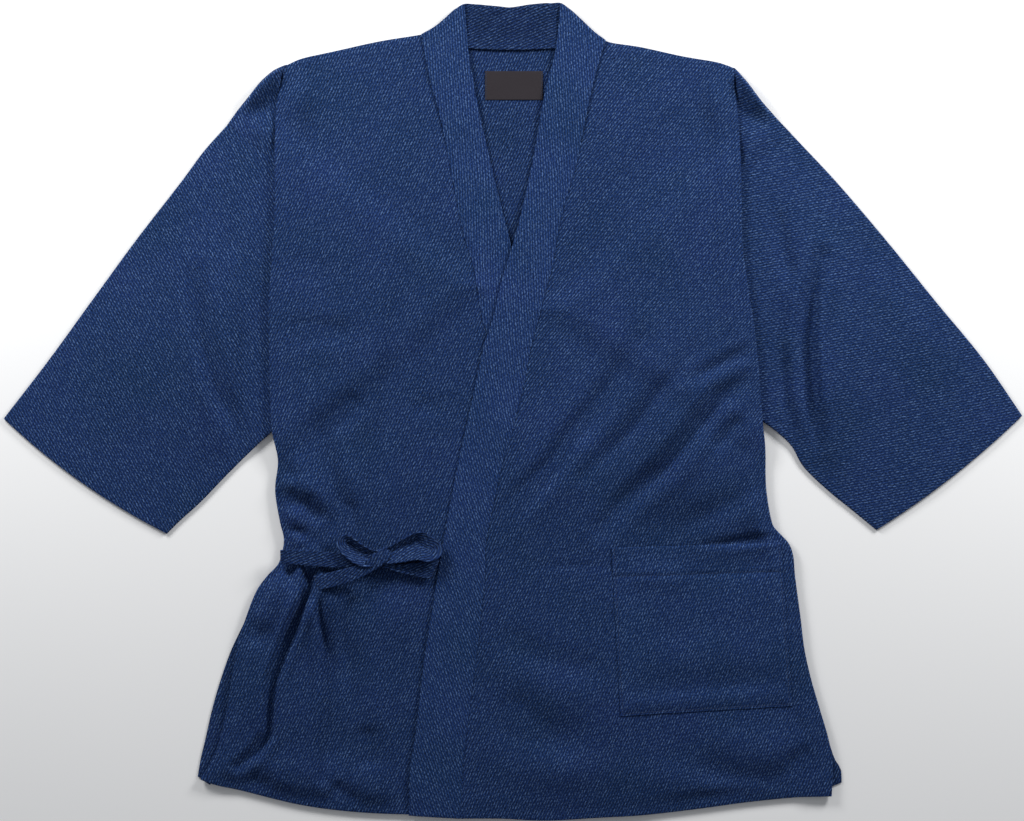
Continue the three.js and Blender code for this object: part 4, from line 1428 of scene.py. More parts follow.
@dataclass
class Front:
    """A front: its panel with the rolled side fold, and its share of the dropped shoulder."""

    half: Half
    columns: int = 120
    rows: int = 270
    drop_columns: int = 40
    drop_rows: int = 40
    tucked: float = 8.0
    over_sleeve: float = 1.2
    seam_ridge: float = -0.35
    corner_falls: Span = (2.0, 15.0)
    puff: float = 10.5
    puff_from_side: Span = (7.0, 14.0)
    puff_from_top: Span = (0.0, 5.0)
    puff_runs_out: Span = (6.0, 32.0)
    puff_ends: Span = (42.0, 72.0)
    swell: float = 5.0
    swell_from_side: Span = (10.0, 24.0)
    swell_runs_out: Span = (32.0, 60.0)
    swell_from_corner: Span = (48.0, 80.0)
    onto_sleeve: Span = (0.0, 15.0)
    shoulder_fall: float = 0.8
    shoulder_reach: float = 7.0
    groove: float = 0.1
    groove_span: Span = (0.5, 4.0)
    turned_shares: tuple[float, ...] = (0.25, 0.6, 0.93, 1.0)
    hem_depth: float = 24.0
    hem_extra: float = 0.5
    weave_low: float = 65.0
    weave_high: float = 65.0
    weave_turns: Span = (-150.0, 150.0)
    cut: Span = (370.0, 830.0)
    underside: list[str] = field(default_factory=list)

    def height(self, x: Array, y: Array) -> Array:
        """Gives the middle of the wall. It comes down to the back at the shoulder seam.

        Args:
            x: The points' X.
            y: The points' Y.

        Returns:
            The height.
        """
        from_shoulder = read(self.half.shoulder, 0, x, 1) - y
        seam = self.shoulder_fall * (1 - smooth(from_shoulder, 0, self.shoulder_reach))
        from_band = self.half.outward * (x - read(self.half.seam, 1, y, 0))
        groove = self.groove * (1 - smooth(from_band, *self.groove_span))
        return LAYERS.front(self.half, x, y) - seam - groove

    def panel(self, mesh: Mesh) -> None:
        """Adds the panel with its side fold.

        Args:
            mesh: The front's mesh.
        """
        half = self.half
        inset = CLOTH / 2 + FOLD_RADIUS
        side = Edge(half.edge, -half.outward * inset)
        seam = Edge(half.seam, half.outward * SEAM / 2)
        corner, low_corner = seam.points[0], seam.points[-1]
        end, low_end = side.points[0], side.points[-1]
        top = Edge([tuple(corner), *half.shoulder[1:-1], tuple(end)])
        bottom = Edge([tuple(low_corner), *half.hem[::-1][1:-1], tuple(low_end)])
        patch = Patch(top, bottom, seam, side)
        across = spread(self.columns, bottom.length)
        across = across[across < 1 - CLOTH / bottom.length]
        across = np.append(across, 1.0)
        down = spread(self.rows, side.length)
        flat = raised(patch.points(across, down), self.height)
        edge = flat[:, -1]
        ways = side.way(down)
        away = np.stack([ways[:, 1], -ways[:, 0], np.zeros(len(ways))], axis=1)
        away *= np.sign(away[:, :1] * half.outward)
        centre = np.concatenate([flat, *self.fold(edge, away)], axis=1)
        unrolled = np.concatenate([[0], np.cumsum(np.linalg.norm(np.diff(centre[0], axis=0), axis=1))])
        weave_points = centre[..., :2].copy()
        past = (unrolled - unrolled[len(across) - 1])[len(across):]
        weave_points[:, len(across):] = edge[:, None, :2] + away[:, None, :2] * past[None, :, None]
        turns = smooth(centre[..., 1], *self.weave_turns)
        angle = self.weave_low + (self.weave_high - self.weave_low) * turns
        from_hem = centre[..., 1] - read(half.hem, 0, centre[..., 0], 1)
        wall = CLOTH + self.hem_extra * (1 - smooth(from_hem, self.hem_depth - 2, self.hem_depth + 2))
        mesh.add_shell(centre, wall, turned(weave_points, angle))

    def fold(self, edge: Array, away: Array) -> list[Array]:
        """Rolls the cloth round the side and back under itself.

        Args:
            edge: The points along the side where the roll starts.
            away: The unit directions away from the jacket at these points.

        Returns:
            The columns of points of the roll and of the strip that is turned under.
        """
        columns = []
        for step in range(1, FOLD_STEPS + 1):
            turn = math.pi * step / FOLD_STEPS
            out = away * math.sin(turn) + np.array([0, 0, math.cos(turn)])
            columns.append((edge - (0, 0, FOLD_RADIUS) + out * FOLD_RADIUS)[:, None])
        under = columns[-1]
        return columns + [under - away[:, None] * TURNED_UNDER * share for share in self.turned_shares]

    def dropped_shoulder(self, mesh: Mesh) -> None:
        """Adds the cloth that comes out from under the side fold to the armhole seam.

        Args:
            mesh: The front's mesh.
        """
        half = self.half
        inner = half.edge[1][0] - half.outward * self.tucked
        seam_end = half.on_armhole(inner) + half.sleeve_way * self.over_sleeve
        notch = half.notch + half.sleeve_way * self.over_sleeve
        top = Edge([*half.drop[:-1], tuple(notch)])
        low = Edge([(inner, half.edge[1][1]), tuple(seam_end)])
        start = Edge([half.drop[0], (inner, half.edge[1][1])])
        end = Edge([tuple(notch), tuple(seam_end)])
        patch = Patch(top, low, start, end)
        across = spread(self.drop_columns, top.length)
        down = spread(self.drop_rows, end.length)
        corner_x, corner_y = half.drop[0]

        def height(x: Array, y: Array) -> Array:
            """Falls from the front's level at the shoulder into the hollow by the side fold.

            Args:
                x: The points' X.
                y: The points' Y.

            Returns:
                The middle of the wall.
            """
            base = SOLID_CLOTH + REST + CLOTH / 2 - 0.5
            from_corner = np.hypot(x - corner_x, y - corner_y)
            high = (FRONT_LOW + EDGE_LIFT - base - 0.2) * (1 - smooth(from_corner, *self.corner_falls))
            from_inner = half.outward * (x - inner)
            from_top = read(half.drop, 0, x, 1) - y
            puff = smooth(from_inner, *self.puff_from_side) * smooth(from_top, *self.puff_from_top)
            puff = puff * (1 - smooth(from_top, *self.puff_runs_out))
            puff = self.puff * puff * (1 - smooth(from_corner, *self.puff_ends))
            swell = smooth(from_inner, *self.swell_from_side)
            swell = swell * (1 - smooth(from_inner, *self.swell_runs_out))
            swell = swell * smooth(from_corner, *self.swell_from_corner)
            to_seam = (half.notch[0] - x) * half.sleeve_way[0] + (half.notch[1] - y) * half.sleeve_way[1]
            on_sleeve = LAYERS.sleeve_low(half, x, y) + 2 * CLOTH + SLEEVE_HOLLOW + self.seam_ridge
            by_seam = 1 - smooth(to_seam, *self.onto_sleeve)
            return (base + high + puff + self.swell * swell) * (1 - by_seam) + on_sleeve * by_seam

        centre = raised(patch.points(across, down), height)
        to_seam = (half.notch[0] - centre[..., 0]) * half.sleeve_way[0]
        to_seam = to_seam + (half.notch[1] - centre[..., 1]) * half.sleeve_way[1]
        wall = CLOTH * (1 - 0.6 * (1 - smooth(to_seam, -self.over_sleeve, 3)))
        mesh.add_shell(centre, wall, turned(centre, self.sleeve_angle))

    @property
    def sleeve_angle(self) -> float:
        """The angle of the threads past the side fold."""
        return 112.0 if self.half.side is Side.RIGHT else 16.0

    def build(self, finishes: Finishes) -> list[Piece]:
        """Makes the front.

        Args:
            finishes: The materials.

        Returns:
            A list with the piece.
        """
        mesh = Mesh()
        self.panel(mesh)
        self.dropped_shoulder(mesh)
        word = self.half.side.name.lower()
        piece = dressed(mesh.piece(f"front_panel_{word}"), finishes.cloth, f"front_{word}")
        declared(piece, mesh, self.cut)
        return [piece]


@dataclass
class Sleeve:
    """A sleeve: a flat tube, open at the cuff and at the armhole, which lies inside the body."""

    half: Half
    stations: int = 120
    columns: int = 76
    round_steps: int = 4
    past_side: Span = (12.0, 50.0)
    by_edges: Span = (0.0, 0.16)
    waves: tuple[Wave, ...] = (Wave(0.5, 70, 70, 400), Wave(0.25, 30, 30, 0, 90))
    weave_angle: float = 119.0
    cut: Span = (560.0, 405.0)

    def build(self, finishes: Finishes) -> list[Piece]:
        """Makes the sleeve.

        Args:
            finishes: The materials.

        Returns:
            A list with the piece.
        """
        half = self.half
        start = half.sleeve_way * SEAM
        top = Edge([tuple(half.notch + start), *half.sleeve_top[1:]])
        under = Edge([tuple(half.underarm + start), *half.sleeve_under])
        apart = CLOTH + SLEEVE_HOLLOW
        radius = apart / 2
        along = spread(self.stations, top.length)
        upper_edge, lower_edge = top.at(along), under.at(along)
        across = lower_edge - upper_edge
        across /= np.linalg.norm(across, axis=1, keepdims=True)
        inset = radius + CLOTH / 2
        upper_edge = upper_edge + across * inset
        lower_edge = lower_edge - across * inset
        share = np.linspace(0, 1, self.columns)
        down = share[None, :, None]
        flat = upper_edge[:, None] * (1 - down) + lower_edge[:, None] * down
        bulge = half.cuff_bulge * 4 * share * (1 - share) * along[:, None]
        flat = flat + bulge[..., None] * half.sleeve_way
        x, y = flat[..., 0], flat[..., 1]
        low = LAYERS.sleeve_low(half, x, y)
        fades = smooth(half.outward * (x - half.edge[half.by_armhole][0]), *self.past_side)
        fades = fades * smooth(np.minimum(share, 1 - share), *self.by_edges)[None, :]
        uneven = sum(wave.at(x, y) for wave in self.waves)
        rise = np.maximum(relief(x, y, SLEEVE_SWELLS, SLEEVE_FOLDS) + uneven, 0)
        upper = np.concatenate([flat, (low + apart + fades * rise)[..., None]], axis=2)
        lower = np.concatenate([flat, low[..., None]], axis=2)
        way = np.concatenate([across, np.zeros((len(across), 1))], axis=1)
        lower_turn = self.turn(upper[:, -1], way, -radius)
        upper_turn = self.turn(lower[:, 0], -way, radius)
        centre = np.concatenate([upper, *lower_turn, lower[:, ::-1], *upper_turn], axis=1)
        mesh = Mesh()
        mesh.add_shell(centre, CLOTH, turned(centre, self.weave_angle), ring=True)
        word = half.side.name.lower()
        piece = dressed(mesh.piece(f"sleeve_tube_{word}"), finishes.cloth, f"sleeve_{word}")
        declared(piece, mesh, self.cut)
        return [piece]

    def turn(self, edge: Array, away: Array, radius: float) -> list[Array]:
        """Gives the points of the round edge between the two layers.

        Args:
            edge: The last points of the layer that the turn leaves.
            away: The directions away from the sleeve.
            radius: The radius of the turn, below zero where it goes down.

        Returns:
            The columns of points.
        """
        columns = []
        for step in range(1, self.round_steps):
            angle = math.pi * step / self.round_steps
            lift = np.array([0, 0, radius * (1 - math.cos(angle))])
            columns.append((edge + lift + away * abs(radius) * math.sin(angle))[:, None])
        return columns


@dataclass
class CollarStand:
    """The collar behind the neck, between the two folds where the band turns to the front."""

    columns: int = 110
    rows: int = 36
    low_rise: float = 1.6
    over_back: float = 0.5
    lean: float = 8.0
    stands_off: float = 0.9
    wall_share: float = 0.8
    high: float = 48.0
    half_width: float = 52.0
    off_back: Span = (372.0, 386.0)
    off_edge: Span = (377.0, 392.0)
    leans: Span = (374.0, 424.0)
    weave_angle: float = 22.0
    cut: Span = (190.0, 50.0)
    wrinkles: list[Fold] = field(default_factory=lambda: [
        Fold("by the right fold", -1.3, 4, 7, [(-12, 416), (-20, 404), (-31, 388)]),
        Fold("near the middle", -0.9, 4, 6, [(17, 417), (12, 407)]),
        Fold("right of the middle", 0.7, 6, 6, [(-2, 412), (-8, 396)]),
        Fold("by the left fold", -0.8, 5, 5, [(38, 414), (33, 394)]),
    ])

    def height(self, x: Array, y: Array) -> Array:
        """Gives the middle of the wall, which lies over the edge of the back.

        Args:
            x: The points' X.
            y: The points' Y.

        Returns:
            The height.
        """
        over = self.over_back * (1 - smooth(y, *self.off_back))
        wrinkled = sum(crease(fold, x, y) for fold in self.wrinkles)
        edges = smooth(y, 376, 384) * (1 - smooth(y, 409, 420))
        leans = self.lean * smooth(y, *self.leans) * smooth(self.half_width - np.abs(x), 5, 20)
        on_edge = CLOTH * (1 - smooth(y, *self.off_edge)) * 0.5
        return leans + BAND / 2 + on_edge + over + self.stands_off + wrinkled * edges

    def build(self, finishes: Finishes) -> list[Piece]:
        """Makes the stand.

        Args:
            finishes: The materials.

        Returns:
            A list with the piece.
        """
        low = [(x, y + self.low_rise) for x, y in NECKLINE]
        top = Edge([*CORNER_RIGHT[::-1], *STAND_TOP[1:-1], *CORNER_LEFT])
        start, end = Edge([CORNER_RIGHT[-1], low[0]]), Edge([CORNER_LEFT[-1], low[-1]])
        patch = Patch(top, Edge(low), start, end)
        across = spread(self.columns, top.length)
        down = spread(self.rows, self.high)
        centre = raised(patch.points(across, down), self.height)
        mesh = Mesh()
        mesh.add_shell(centre, BAND * self.wall_share, turned(centre, self.weave_angle))
        piece = dressed(mesh.piece("collar_behind_neck"), finishes.stand, "collar_stand")
        declared(piece, mesh, self.cut)
        return [piece]


@dataclass
class CollarBand:
    """A stretch of the collar band, from the fold at its top to the hem."""

    half: Half
    columns: int = 24
    rows: int = 300
    laps: float = 0.9
    seam_wall: float = 0.35
    seam_ridge: float = 0.5
    ridge_place: float = 3.2
    ridge_width: float = 1.8
    edge_fall: Span = (1.8, 0.4)
    edge_thinned: float = 0.8
    edge_rises: Span = (40.0, 100.0)
    pucker: Wave = Wave(0.25, 40, 14)
    weave_low: float = 109.0
    weave_high: float = 94.0
    weave_turns: Span = (-260.0, 260.0)
    weave_moved: Span = (30.0, 0.0)
    cut: Span = (56.0, 860.0)
    underside: list[str] = field(default_factory=list)

    def build(self, finishes: Finishes) -> list[Piece]:
        """Makes the band.

        Args:
            finishes: The materials.

        Returns:
            A list with the piece.
        """
        half = self.half
        opening = Edge(half.opening)
        seam = Edge(half.seam, half.outward * self.laps)
        top = Edge([tuple(opening.points[0]), *half.corner[1:-1], tuple(seam.points[0])])
        bottom = Edge([tuple(opening.points[-1]), tuple(seam.points[-1])])
        patch = Patch(top, bottom, opening, seam)
        across = spread(self.columns, bottom.length)
        down = spread(self.rows, seam.length)
        flat = patch.points(across, down)
        centre = raised(flat, lambda x, y: LAYERS.band(half, x, y) + self.puckers(x, y) - self.fall(x, y))
        x, y = centre[..., 0], centre[..., 1]
        angle = self.weave_low + (self.weave_high - self.weave_low) * smooth(y, *self.weave_turns)
        weave = turned(centre[..., :2] + self.weave_moved, angle)
        pressed = self.edge_thinned * (1 - smooth(self.away(half.opening, x, y), 0, 8))
        pressed = pressed * (1 - smooth(y, *self.edge_rises))
        thinned = (BAND - self.seam_wall) * self.at_seam(x, y)
        mesh = Mesh()
        mesh.add_shell(centre, BAND - thinned - pressed, weave)
        word = half.side.name.lower()
        piece = dressed(mesh.piece(f"collar_band_{word}"), finishes.band, f"collar_{word}")
        declared(piece, mesh, self.cut)
        return [piece]

    def away(self, line: Rows, x: Array, y: Array) -> Array:
        """Gives how far points are from a line along X."""
        return np.abs(x - read(line, 1, y, 0))

    def at_seam(self, x: Array, y: Array) -> Array:
        """Gives 1 at the seam, where the band is thin and laps over the front, and 0 away from it."""
        return 1 - smooth(self.away(self.half.seam, x, y), 1.0, 4.5)

    def fall(self, x: Array, y: Array) -> Array:
        """Gives how far the middle of the band comes down at its open edge, or rises at its seam.

        Args:
            x: The points' X.
            y: The points' Y.

        Returns:
            The distance, below zero where the band rises.
        """
        low, high = self.edge_fall
        at_edge = low + (high - low) * smooth(y, *self.edge_rises)
        lap = (SOLID_BAND - SOLID_CLOTH) / 2 - (CLOTH + self.seam_wall) / 2
        from_ridge = (self.away(self.half.seam, x, y) - self.ridge_place) / self.ridge_width
        ridge = self.seam_ridge * np.exp(-(from_ridge**2))
        from_edge = self.away(self.half.opening, x, y)
        return at_edge * (1 - smooth(from_edge, 0, 12)) + lap * self.at_seam(x, y) - ridge

    def puckers(self, x: Array, y: Array) -> Array:
        """Gives the slight waves along the seam that holds the band."""
        return self.pucker.at(x, y) * (1 - smooth(self.away(self.half.seam, x, y), 2, 14))


@dataclass
class Pocket:
    """The patch pocket on the left front, with its mouth at the top and a deep top hem."""

    top_in: Span = (103.0, -142.0)
    top_out: Span = (279.0, -137.0)
    low_in: Span = (112.0, -317.0)
    low_out: Span = (291.0, -307.0)
    across: float = 180.0
    down: float = 175.0
    cut: Span = (190.0, 180.0)
    hem: float = 30.0
    stitch_in: float = 2.6
    columns: int = 90
    rows: int = 90
    weave_angle: float = 65.0
    wall: float = 1.2
    sewn_wall: float = 0.75
    stands_off: float = 0.1
    loose_lift: float = 0.5
    mouth_lift: float = 1.3
    loosens: Span = (1.5, 16.0)
    thickens: Span = (0.0, 7.0)
    mouth_depth: float = 30.0
    stitch_depth: float = 0.35
    stitch_width: float = 0.9
    hem_groove: float = 1.0
    groove_width: float = 1.6
    hem_lift: float = 0.45
    low_waves: float = 1.4
    fine: tuple[Wave, ...] = (Wave(0.4, 34, 34, 77, 13), Wave(0.8, 84, 40, 9, 41))
    pucker: Wave = Wave(0.22, 9, 9)
    waves: list[Fold] = field(default_factory=lambda: [
        Fold("over the lower edge", -2.2, 17, 10, [(118, -291), (170, -289), (232, -284), (278, -280)]),
        Fold("under the mouth, inner", 2.4, 15, 14, [(116, -172), (150, -171), (188, -176)]),
        Fold("under the mouth, outer", -1.8, 14, 12, [(205, -168), (240, -162), (272, -160)]),
        Fold("across the middle", -1.2, 18, 18, [(130, -238), (190, -228), (262, -222)]),
    ])

    def thickness(self, x: Array, y: Array) -> Array:
        """Gives the wall, which is pressed thin where it is sewn down."""
        sewn, _ = self.distances(x, y)
        return self.sewn_wall + (self.wall - self.sewn_wall) * smooth(sewn, *self.thickens)

    def height(self, x: Array, y: Array) -> Array:
        """Gives the middle of the wall: sewn down at three edges, loose at the mouth.

        Args:
            x: The points' X.
            y: The points' Y.

        Returns:
            The height.
        """
        sewn, above = self.distances(x, y)
        loose = smooth(sewn, *self.loosens)
        mouth = self.mouth_lift * loose * (1 - smooth(above, 0, self.mouth_depth))
        from_stitches, from_hem = sewn - self.stitch_in, above - self.hem
        stitched = -self.stitch_depth * np.exp(-((from_stitches / self.stitch_width) ** 2))
        hem_line = -self.hem_groove * np.exp(-((from_hem / self.groove_width) ** 2)) * smooth(sewn, 0, 4)
        doubled = self.hem_lift * (1 - smooth(above, self.hem - 1.5, self.hem + 1.5))
        uneven = sum(wave.at(x, y) for wave in self.fine) * loose
        uneven = uneven + sum(crease(wave, x, y) for wave in self.waves) * loose + self.low_waves * loose
        pucker = self.pucker.at(x, y) * (1 - smooth(sewn, 3, 12))
        base = LAYERS.front(LEFT_HALF, x, y) + CLOTH / 2 + self.thickness(x, y) / 2 + self.stands_off
        return base + self.loose_lift * loose + mouth + stitched + hem_line + doubled + uneven + pucker

    def distances(self, x: Array, y: Array) -> tuple[Array, Array]:
        """Gives how far points are from the edges.

        Args:
            x: The points' X.
            y: The points' Y.

        Returns:
            The distances from the nearest sewn edge and from the mouth.
        """
        def away(first: Span, last: Span) -> Array:
            """Gives the distances from a line.

            Args:
                first: The corner where it starts.
                last: The corner where it ends.

            Returns:
                The distance of each point.
            """
            run = np.array(last) - np.array(first)
            run /= np.linalg.norm(run)
            return np.abs(run[0] * (y - first[1]) - run[1] * (x - first[0]))

        beside = np.minimum(away(self.top_in, self.low_in), away(self.top_out, self.low_out))
        return np.minimum(beside, away(self.low_in, self.low_out)), away(self.top_in, self.top_out)

    def build(self, finishes: Finishes) -> list[Piece]:
        """Makes the pocket and its stitching.

        Args:
            finishes: The materials.

        Returns:
            The pocket and its thread.
        """
        patch = Patch(
            Edge([self.top_in, self.top_out]), Edge([self.low_in, self.low_out]),
            Edge([self.top_in, self.low_in]), Edge([self.top_out, self.low_out]))
        across = spread(self.columns, self.across)
        down = spread(self.rows, self.down)
        centre = raised(patch.points(across, down), self.height)
        mesh = Mesh()
        wall = self.thickness(centre[..., 0], centre[..., 1])
        mesh.add_shell(centre, wall, turned(centre, self.weave_angle))
        piece = dressed(mesh.piece("pocket_patch"), finishes.pocket, "pocket")
        stitches = Mesh()
        for row in self.stitch_lines(patch):
            StitchRow(row).add_to(stitches)
        thread = dressed(stitches.piece("pocket_stitching"), finishes.thread)
        declared(piece, mesh, self.cut)
        return [piece, thread]

    def stitch_lines(self, patch: Patch) -> list[Array]:
        """Gives the lines of stitches: down, across and up, and along the top hem.

        Args:
            patch: The pocket's surface in the plane.

        Returns:
            The points of each line, on top of the pocket.
        """
        near, far = self.stitch_in / self.across, 1 - self.stitch_in / self.across
        steps, wide = np.linspace(0.005, far, 120), np.linspace(near, far, 120)
        lines = [
            patch.points(np.array([near]), steps)[:, 0],
            patch.points(wide, np.array([far]))[0],
            patch.points(np.array([far]), steps)[:, 0],
            patch.points(wide, np.array([self.hem / self.down]))[0],
        ]
        return [raised(line, lambda x, y: self.height(x, y) + self.thickness(x, y) / 2) for line in lines]


@dataclass
class Label:
    """The woven label inside the neck, left bare."""

    x: float = 1.5
    y: float = 339.0
    width: float = 60.0
    length: float = 30.0
    columns: int = 50
    rows: int = 30
    stitch_in: float = 1.2
    stands_off: float = 0.3
    turned_ends: float = 0.25
    wave: Wave = Wave(0.18, 17, 17)
    cut: Span = (62.0, 31.0)

    def build(self, finishes: Finishes) -> list[Piece]:
        """Makes the label and its stitching.

        Args:
            finishes: The materials.

        Returns:
            The label and its thread.
        """
        left, right = self.x - self.width / 2, self.x + self.width / 2
        low, high = self.y - self.length / 2, self.y + self.length / 2
        patch = Patch(
            Edge([(left, high), (right, high)]), Edge([(left, low), (right, low)]),
            Edge([(left, high), (left, low)]), Edge([(right, high), (right, low)]))
        across = spread(self.columns, self.width)
        down = spread(self.rows, self.length)

        def height(x: Array, y: Array) -> Array:
            """Lies on the back panel, a little uneven, with its ends turned under.

            Args:
                x: The points' X.
                y: The points' Y.

            Returns:
                The middle of the wall.
            """
            from_end = np.minimum(x - left, right - x)
            ends = self.turned_ends * (1 - smooth(from_end, 3, 5))
            uneven = self.wave.at(x, y) * smooth(from_end, 0, 8)
            return CLOTH + LABEL_CLOTH / 2 + self.stands_off + ends + uneven

        centre = raised(patch.points(across, down), height)
        mesh = Mesh()
        mesh.add_shell(centre, LABEL_CLOTH, turned(centre, 0.0))
        piece = dressed(mesh.piece("neck_label"), finishes.label, "label")
        stitches = Mesh()
        for x in (left + self.stitch_in, right - self.stitch_in):
            line = np.stack([np.full(40, x), np.linspace(high - 0.6, low + 0.6, 40)], axis=1)
            row = raised(line, lambda x, y: height(x, y) + LABEL_CLOTH / 2)
            StitchRow(row, pitch=2.0, length=1.5, radius=0.2).add_to(stitches)
        thread = dressed(stitches.piece("label_stitching"), finishes.thread)
        declared(piece, mesh, self.cut)
        return [piece, thread]


@dataclass
class Ribbon:
    """A sewn tie of cloth, pressed flat, along rows of x, y, lift, width and roll.

    lift is above the cloth that it rests on, and roll turns it about its length, in degrees.
    """

    name: str
    node: str
    rows: Rows
    length: float
    base: Span | None = None
    steps: int = 14
    columns: int = 14
    gather: float = 0.5
    gathered_width: float = 15.0
    slant: float = 0.0
    stands_off: float = 0.9
    cut_width: float = 20.0
    weave_angle: float = 25.0

    def line(self) -> Array:
        """Gives the rows as a smooth line whose lift is a height.

        Returns:
            Points with x, y, height, width and roll.
        """
        table = np.array(self.rows, float)
        x, y = table[:, 0], table[:, 1]
        if self.base:
            x, y = np.full(len(x), self.base[0]), np.full(len(x), self.base[1])
        table[:, 2] += LAYERS.high_near(x, y) + self.stands_off + STRAP / 2
        return rounded(table, 3, self.steps)

    def build(self, finishes: Finishes) -> list[Piece]:
        """Makes the ribbon.

        Args:
            finishes: The materials.

        Returns:
            A list with the piece.
        """
        line = self.line()
        run = np.gradient(line[:, :3], axis=0)
        run /= np.linalg.norm(run, axis=1, keepdims=True)
        flat = np.empty_like(run)
        carried = np.array([-run[0, 1], run[0, 0], 0.0])
        for i, way in enumerate(run):
            carried = carried - way * (carried @ way)
            carried /= np.linalg.norm(carried)
            flat[i] = carried
        rise = np.cross(run, flat)
        roll = np.radians(line[:, 4])[:, None]
        aside = flat * np.cos(roll) + rise * np.sin(roll)
        out = np.cross(run, aside)
        width = line[:, 3]
        share = spread(self.columns, float(width.mean())) * 2 - 1
        narrow = smooth(self.gathered_width - width, 0, 6)[:, None]
        waves = self.gather * narrow * np.cos(share[None] * math.pi * 2.5)
        beside = share[None, :, None] * width[:, None, None] / 2
        centre = line[:, None, :3] + aside[:, None] * beside + out[:, None] * waves[..., None]
        distance = np.concatenate([[0], np.cumsum(np.linalg.norm(np.diff(line[:, :3], axis=0), axis=1))])
        at_end = smooth(distance / distance[-1], 0.55, 1.0)
        centre = centre + run[:, None] * (share[None] * at_end[:, None] * self.slant)[..., None]
        along = np.broadcast_to(distance[:, None], centre.shape[:2])
        weave = turned(np.stack([along, beside[..., 0]], axis=-1), self.weave_angle)
        mesh = Mesh()
        mesh.add_shell(centre, STRAP, weave)
        piece = dressed(mesh.piece(self.name), finishes.ties, self.node)
        declared(piece, mesh, (self.cut_width, self.length))
        return [piece]


@dataclass
class Knot:
    """The knot of the bow: cloth pulled tight round itself, with pinched folds."""

    x: float = -138.0
    y: float = -153.0
    width: float = 17.0
    length: float = 19.0
    height: float = 8.2
    squareness: float = 0.72
    rings: int = 48
    columns: int = 64
    pinch: float = 0.09
    pleat: float = 0.05
    skew: float = 1.2
    weave_angle: float = 118.0

    def square(self, value: Array) -> Array:
        """Makes a round section squarer."""
        return np.sign(value) * np.abs(value) ** self.squareness

    def points(self) -> Array:
        """Gives the knot's surface.

        Returns:
            A grid of points in rings, from the top down.
        """
        polar = np.linspace(0, math.pi, self.rings)[:, None]
        turn = np.linspace(0, 2 * math.pi, self.columns, endpoint=False)[None]
        side, front = np.sin(polar) * np.cos(turn), np.sin(polar) * np.sin(turn)
        up = np.cos(polar) + 0 * turn
        pinched = self.pinch * np.exp(-(np.sin(turn * 2 + polar * 1.6) ** 2) / 0.05) * np.sin(polar)
        pleats = 1 + self.pleat * np.sin(front * 9 + side * 2.5)
        shape = (1 - pinched) * pleats
        base = float(LAYERS.high_near(np.array([self.x]), np.array([self.y]))[0]) + REST
        return np.stack([
            self.x + self.square(side) * self.width / 2 * shape + front * self.skew,
            self.y + self.square(front) * self.length / 2 * shape,
            base + self.height * (1 + self.square(up) * shape) / 2,
        ], axis=-1)

    def build(self, finishes: Finishes) -> list[Piece]:
        """Makes the knot.

        Args:
            finishes: The materials.

        Returns:
            A list with the piece.
        """
        points = self.points()
        inner = points[1:-1].reshape(-1, 3)
        verts = np.vstack([points[0, :1], inner, points[-1, :1]])
        ring = np.arange(self.columns)
        quads = []
        for row in range(self.rings - 3):
            low, high = 1 + row * self.columns + ring, 1 + (row + 1) * self.columns + ring
            quads.append(np.stack([low, high, np.roll(high, -1), np.roll(low, -1)], axis=1))
        faces = np.concatenate(quads)
        weave = turned(verts, self.weave_angle)
        weave[:, 1] += verts[:, 2]
        mesh = Mesh()
        mesh.add(verts, weave, faces)
        made = mesh.piece("bow_knot_wrap")
        self.close(made, len(verts))
        dressed(made, finishes.ties, "bow_knot")
        return [made]

    def close(self, made: Piece, count: int) -> None:
        """Closes the two poles with triangles.

        Args:
            made: The piece, open at both poles.
            count: How many vertices it has.
        """
        work = bmesh.new()
        work.from_mesh(made.data)
        work.verts.ensure_lookup_table()
        layer = work.loops.layers.uv["weave"]
        last = 1 + (self.rings - 3) * self.columns
        for column in range(self.columns):
            beside = (column + 1) % self.columns
            for pole, ring, flip in ((0, 1, False), (count - 1, last, True)):
                corners = [work.verts[pole], work.verts[ring + column], work.verts[ring + beside]]
                face = work.faces.new(corners[::-1] if flip else corners)
                face.smooth = True
                for loop in face.loops:
                    loop[layer].uv = (loop.vert.co.x, loop.vert.co.y)
        work.to_mesh(made.data)
        work.free()


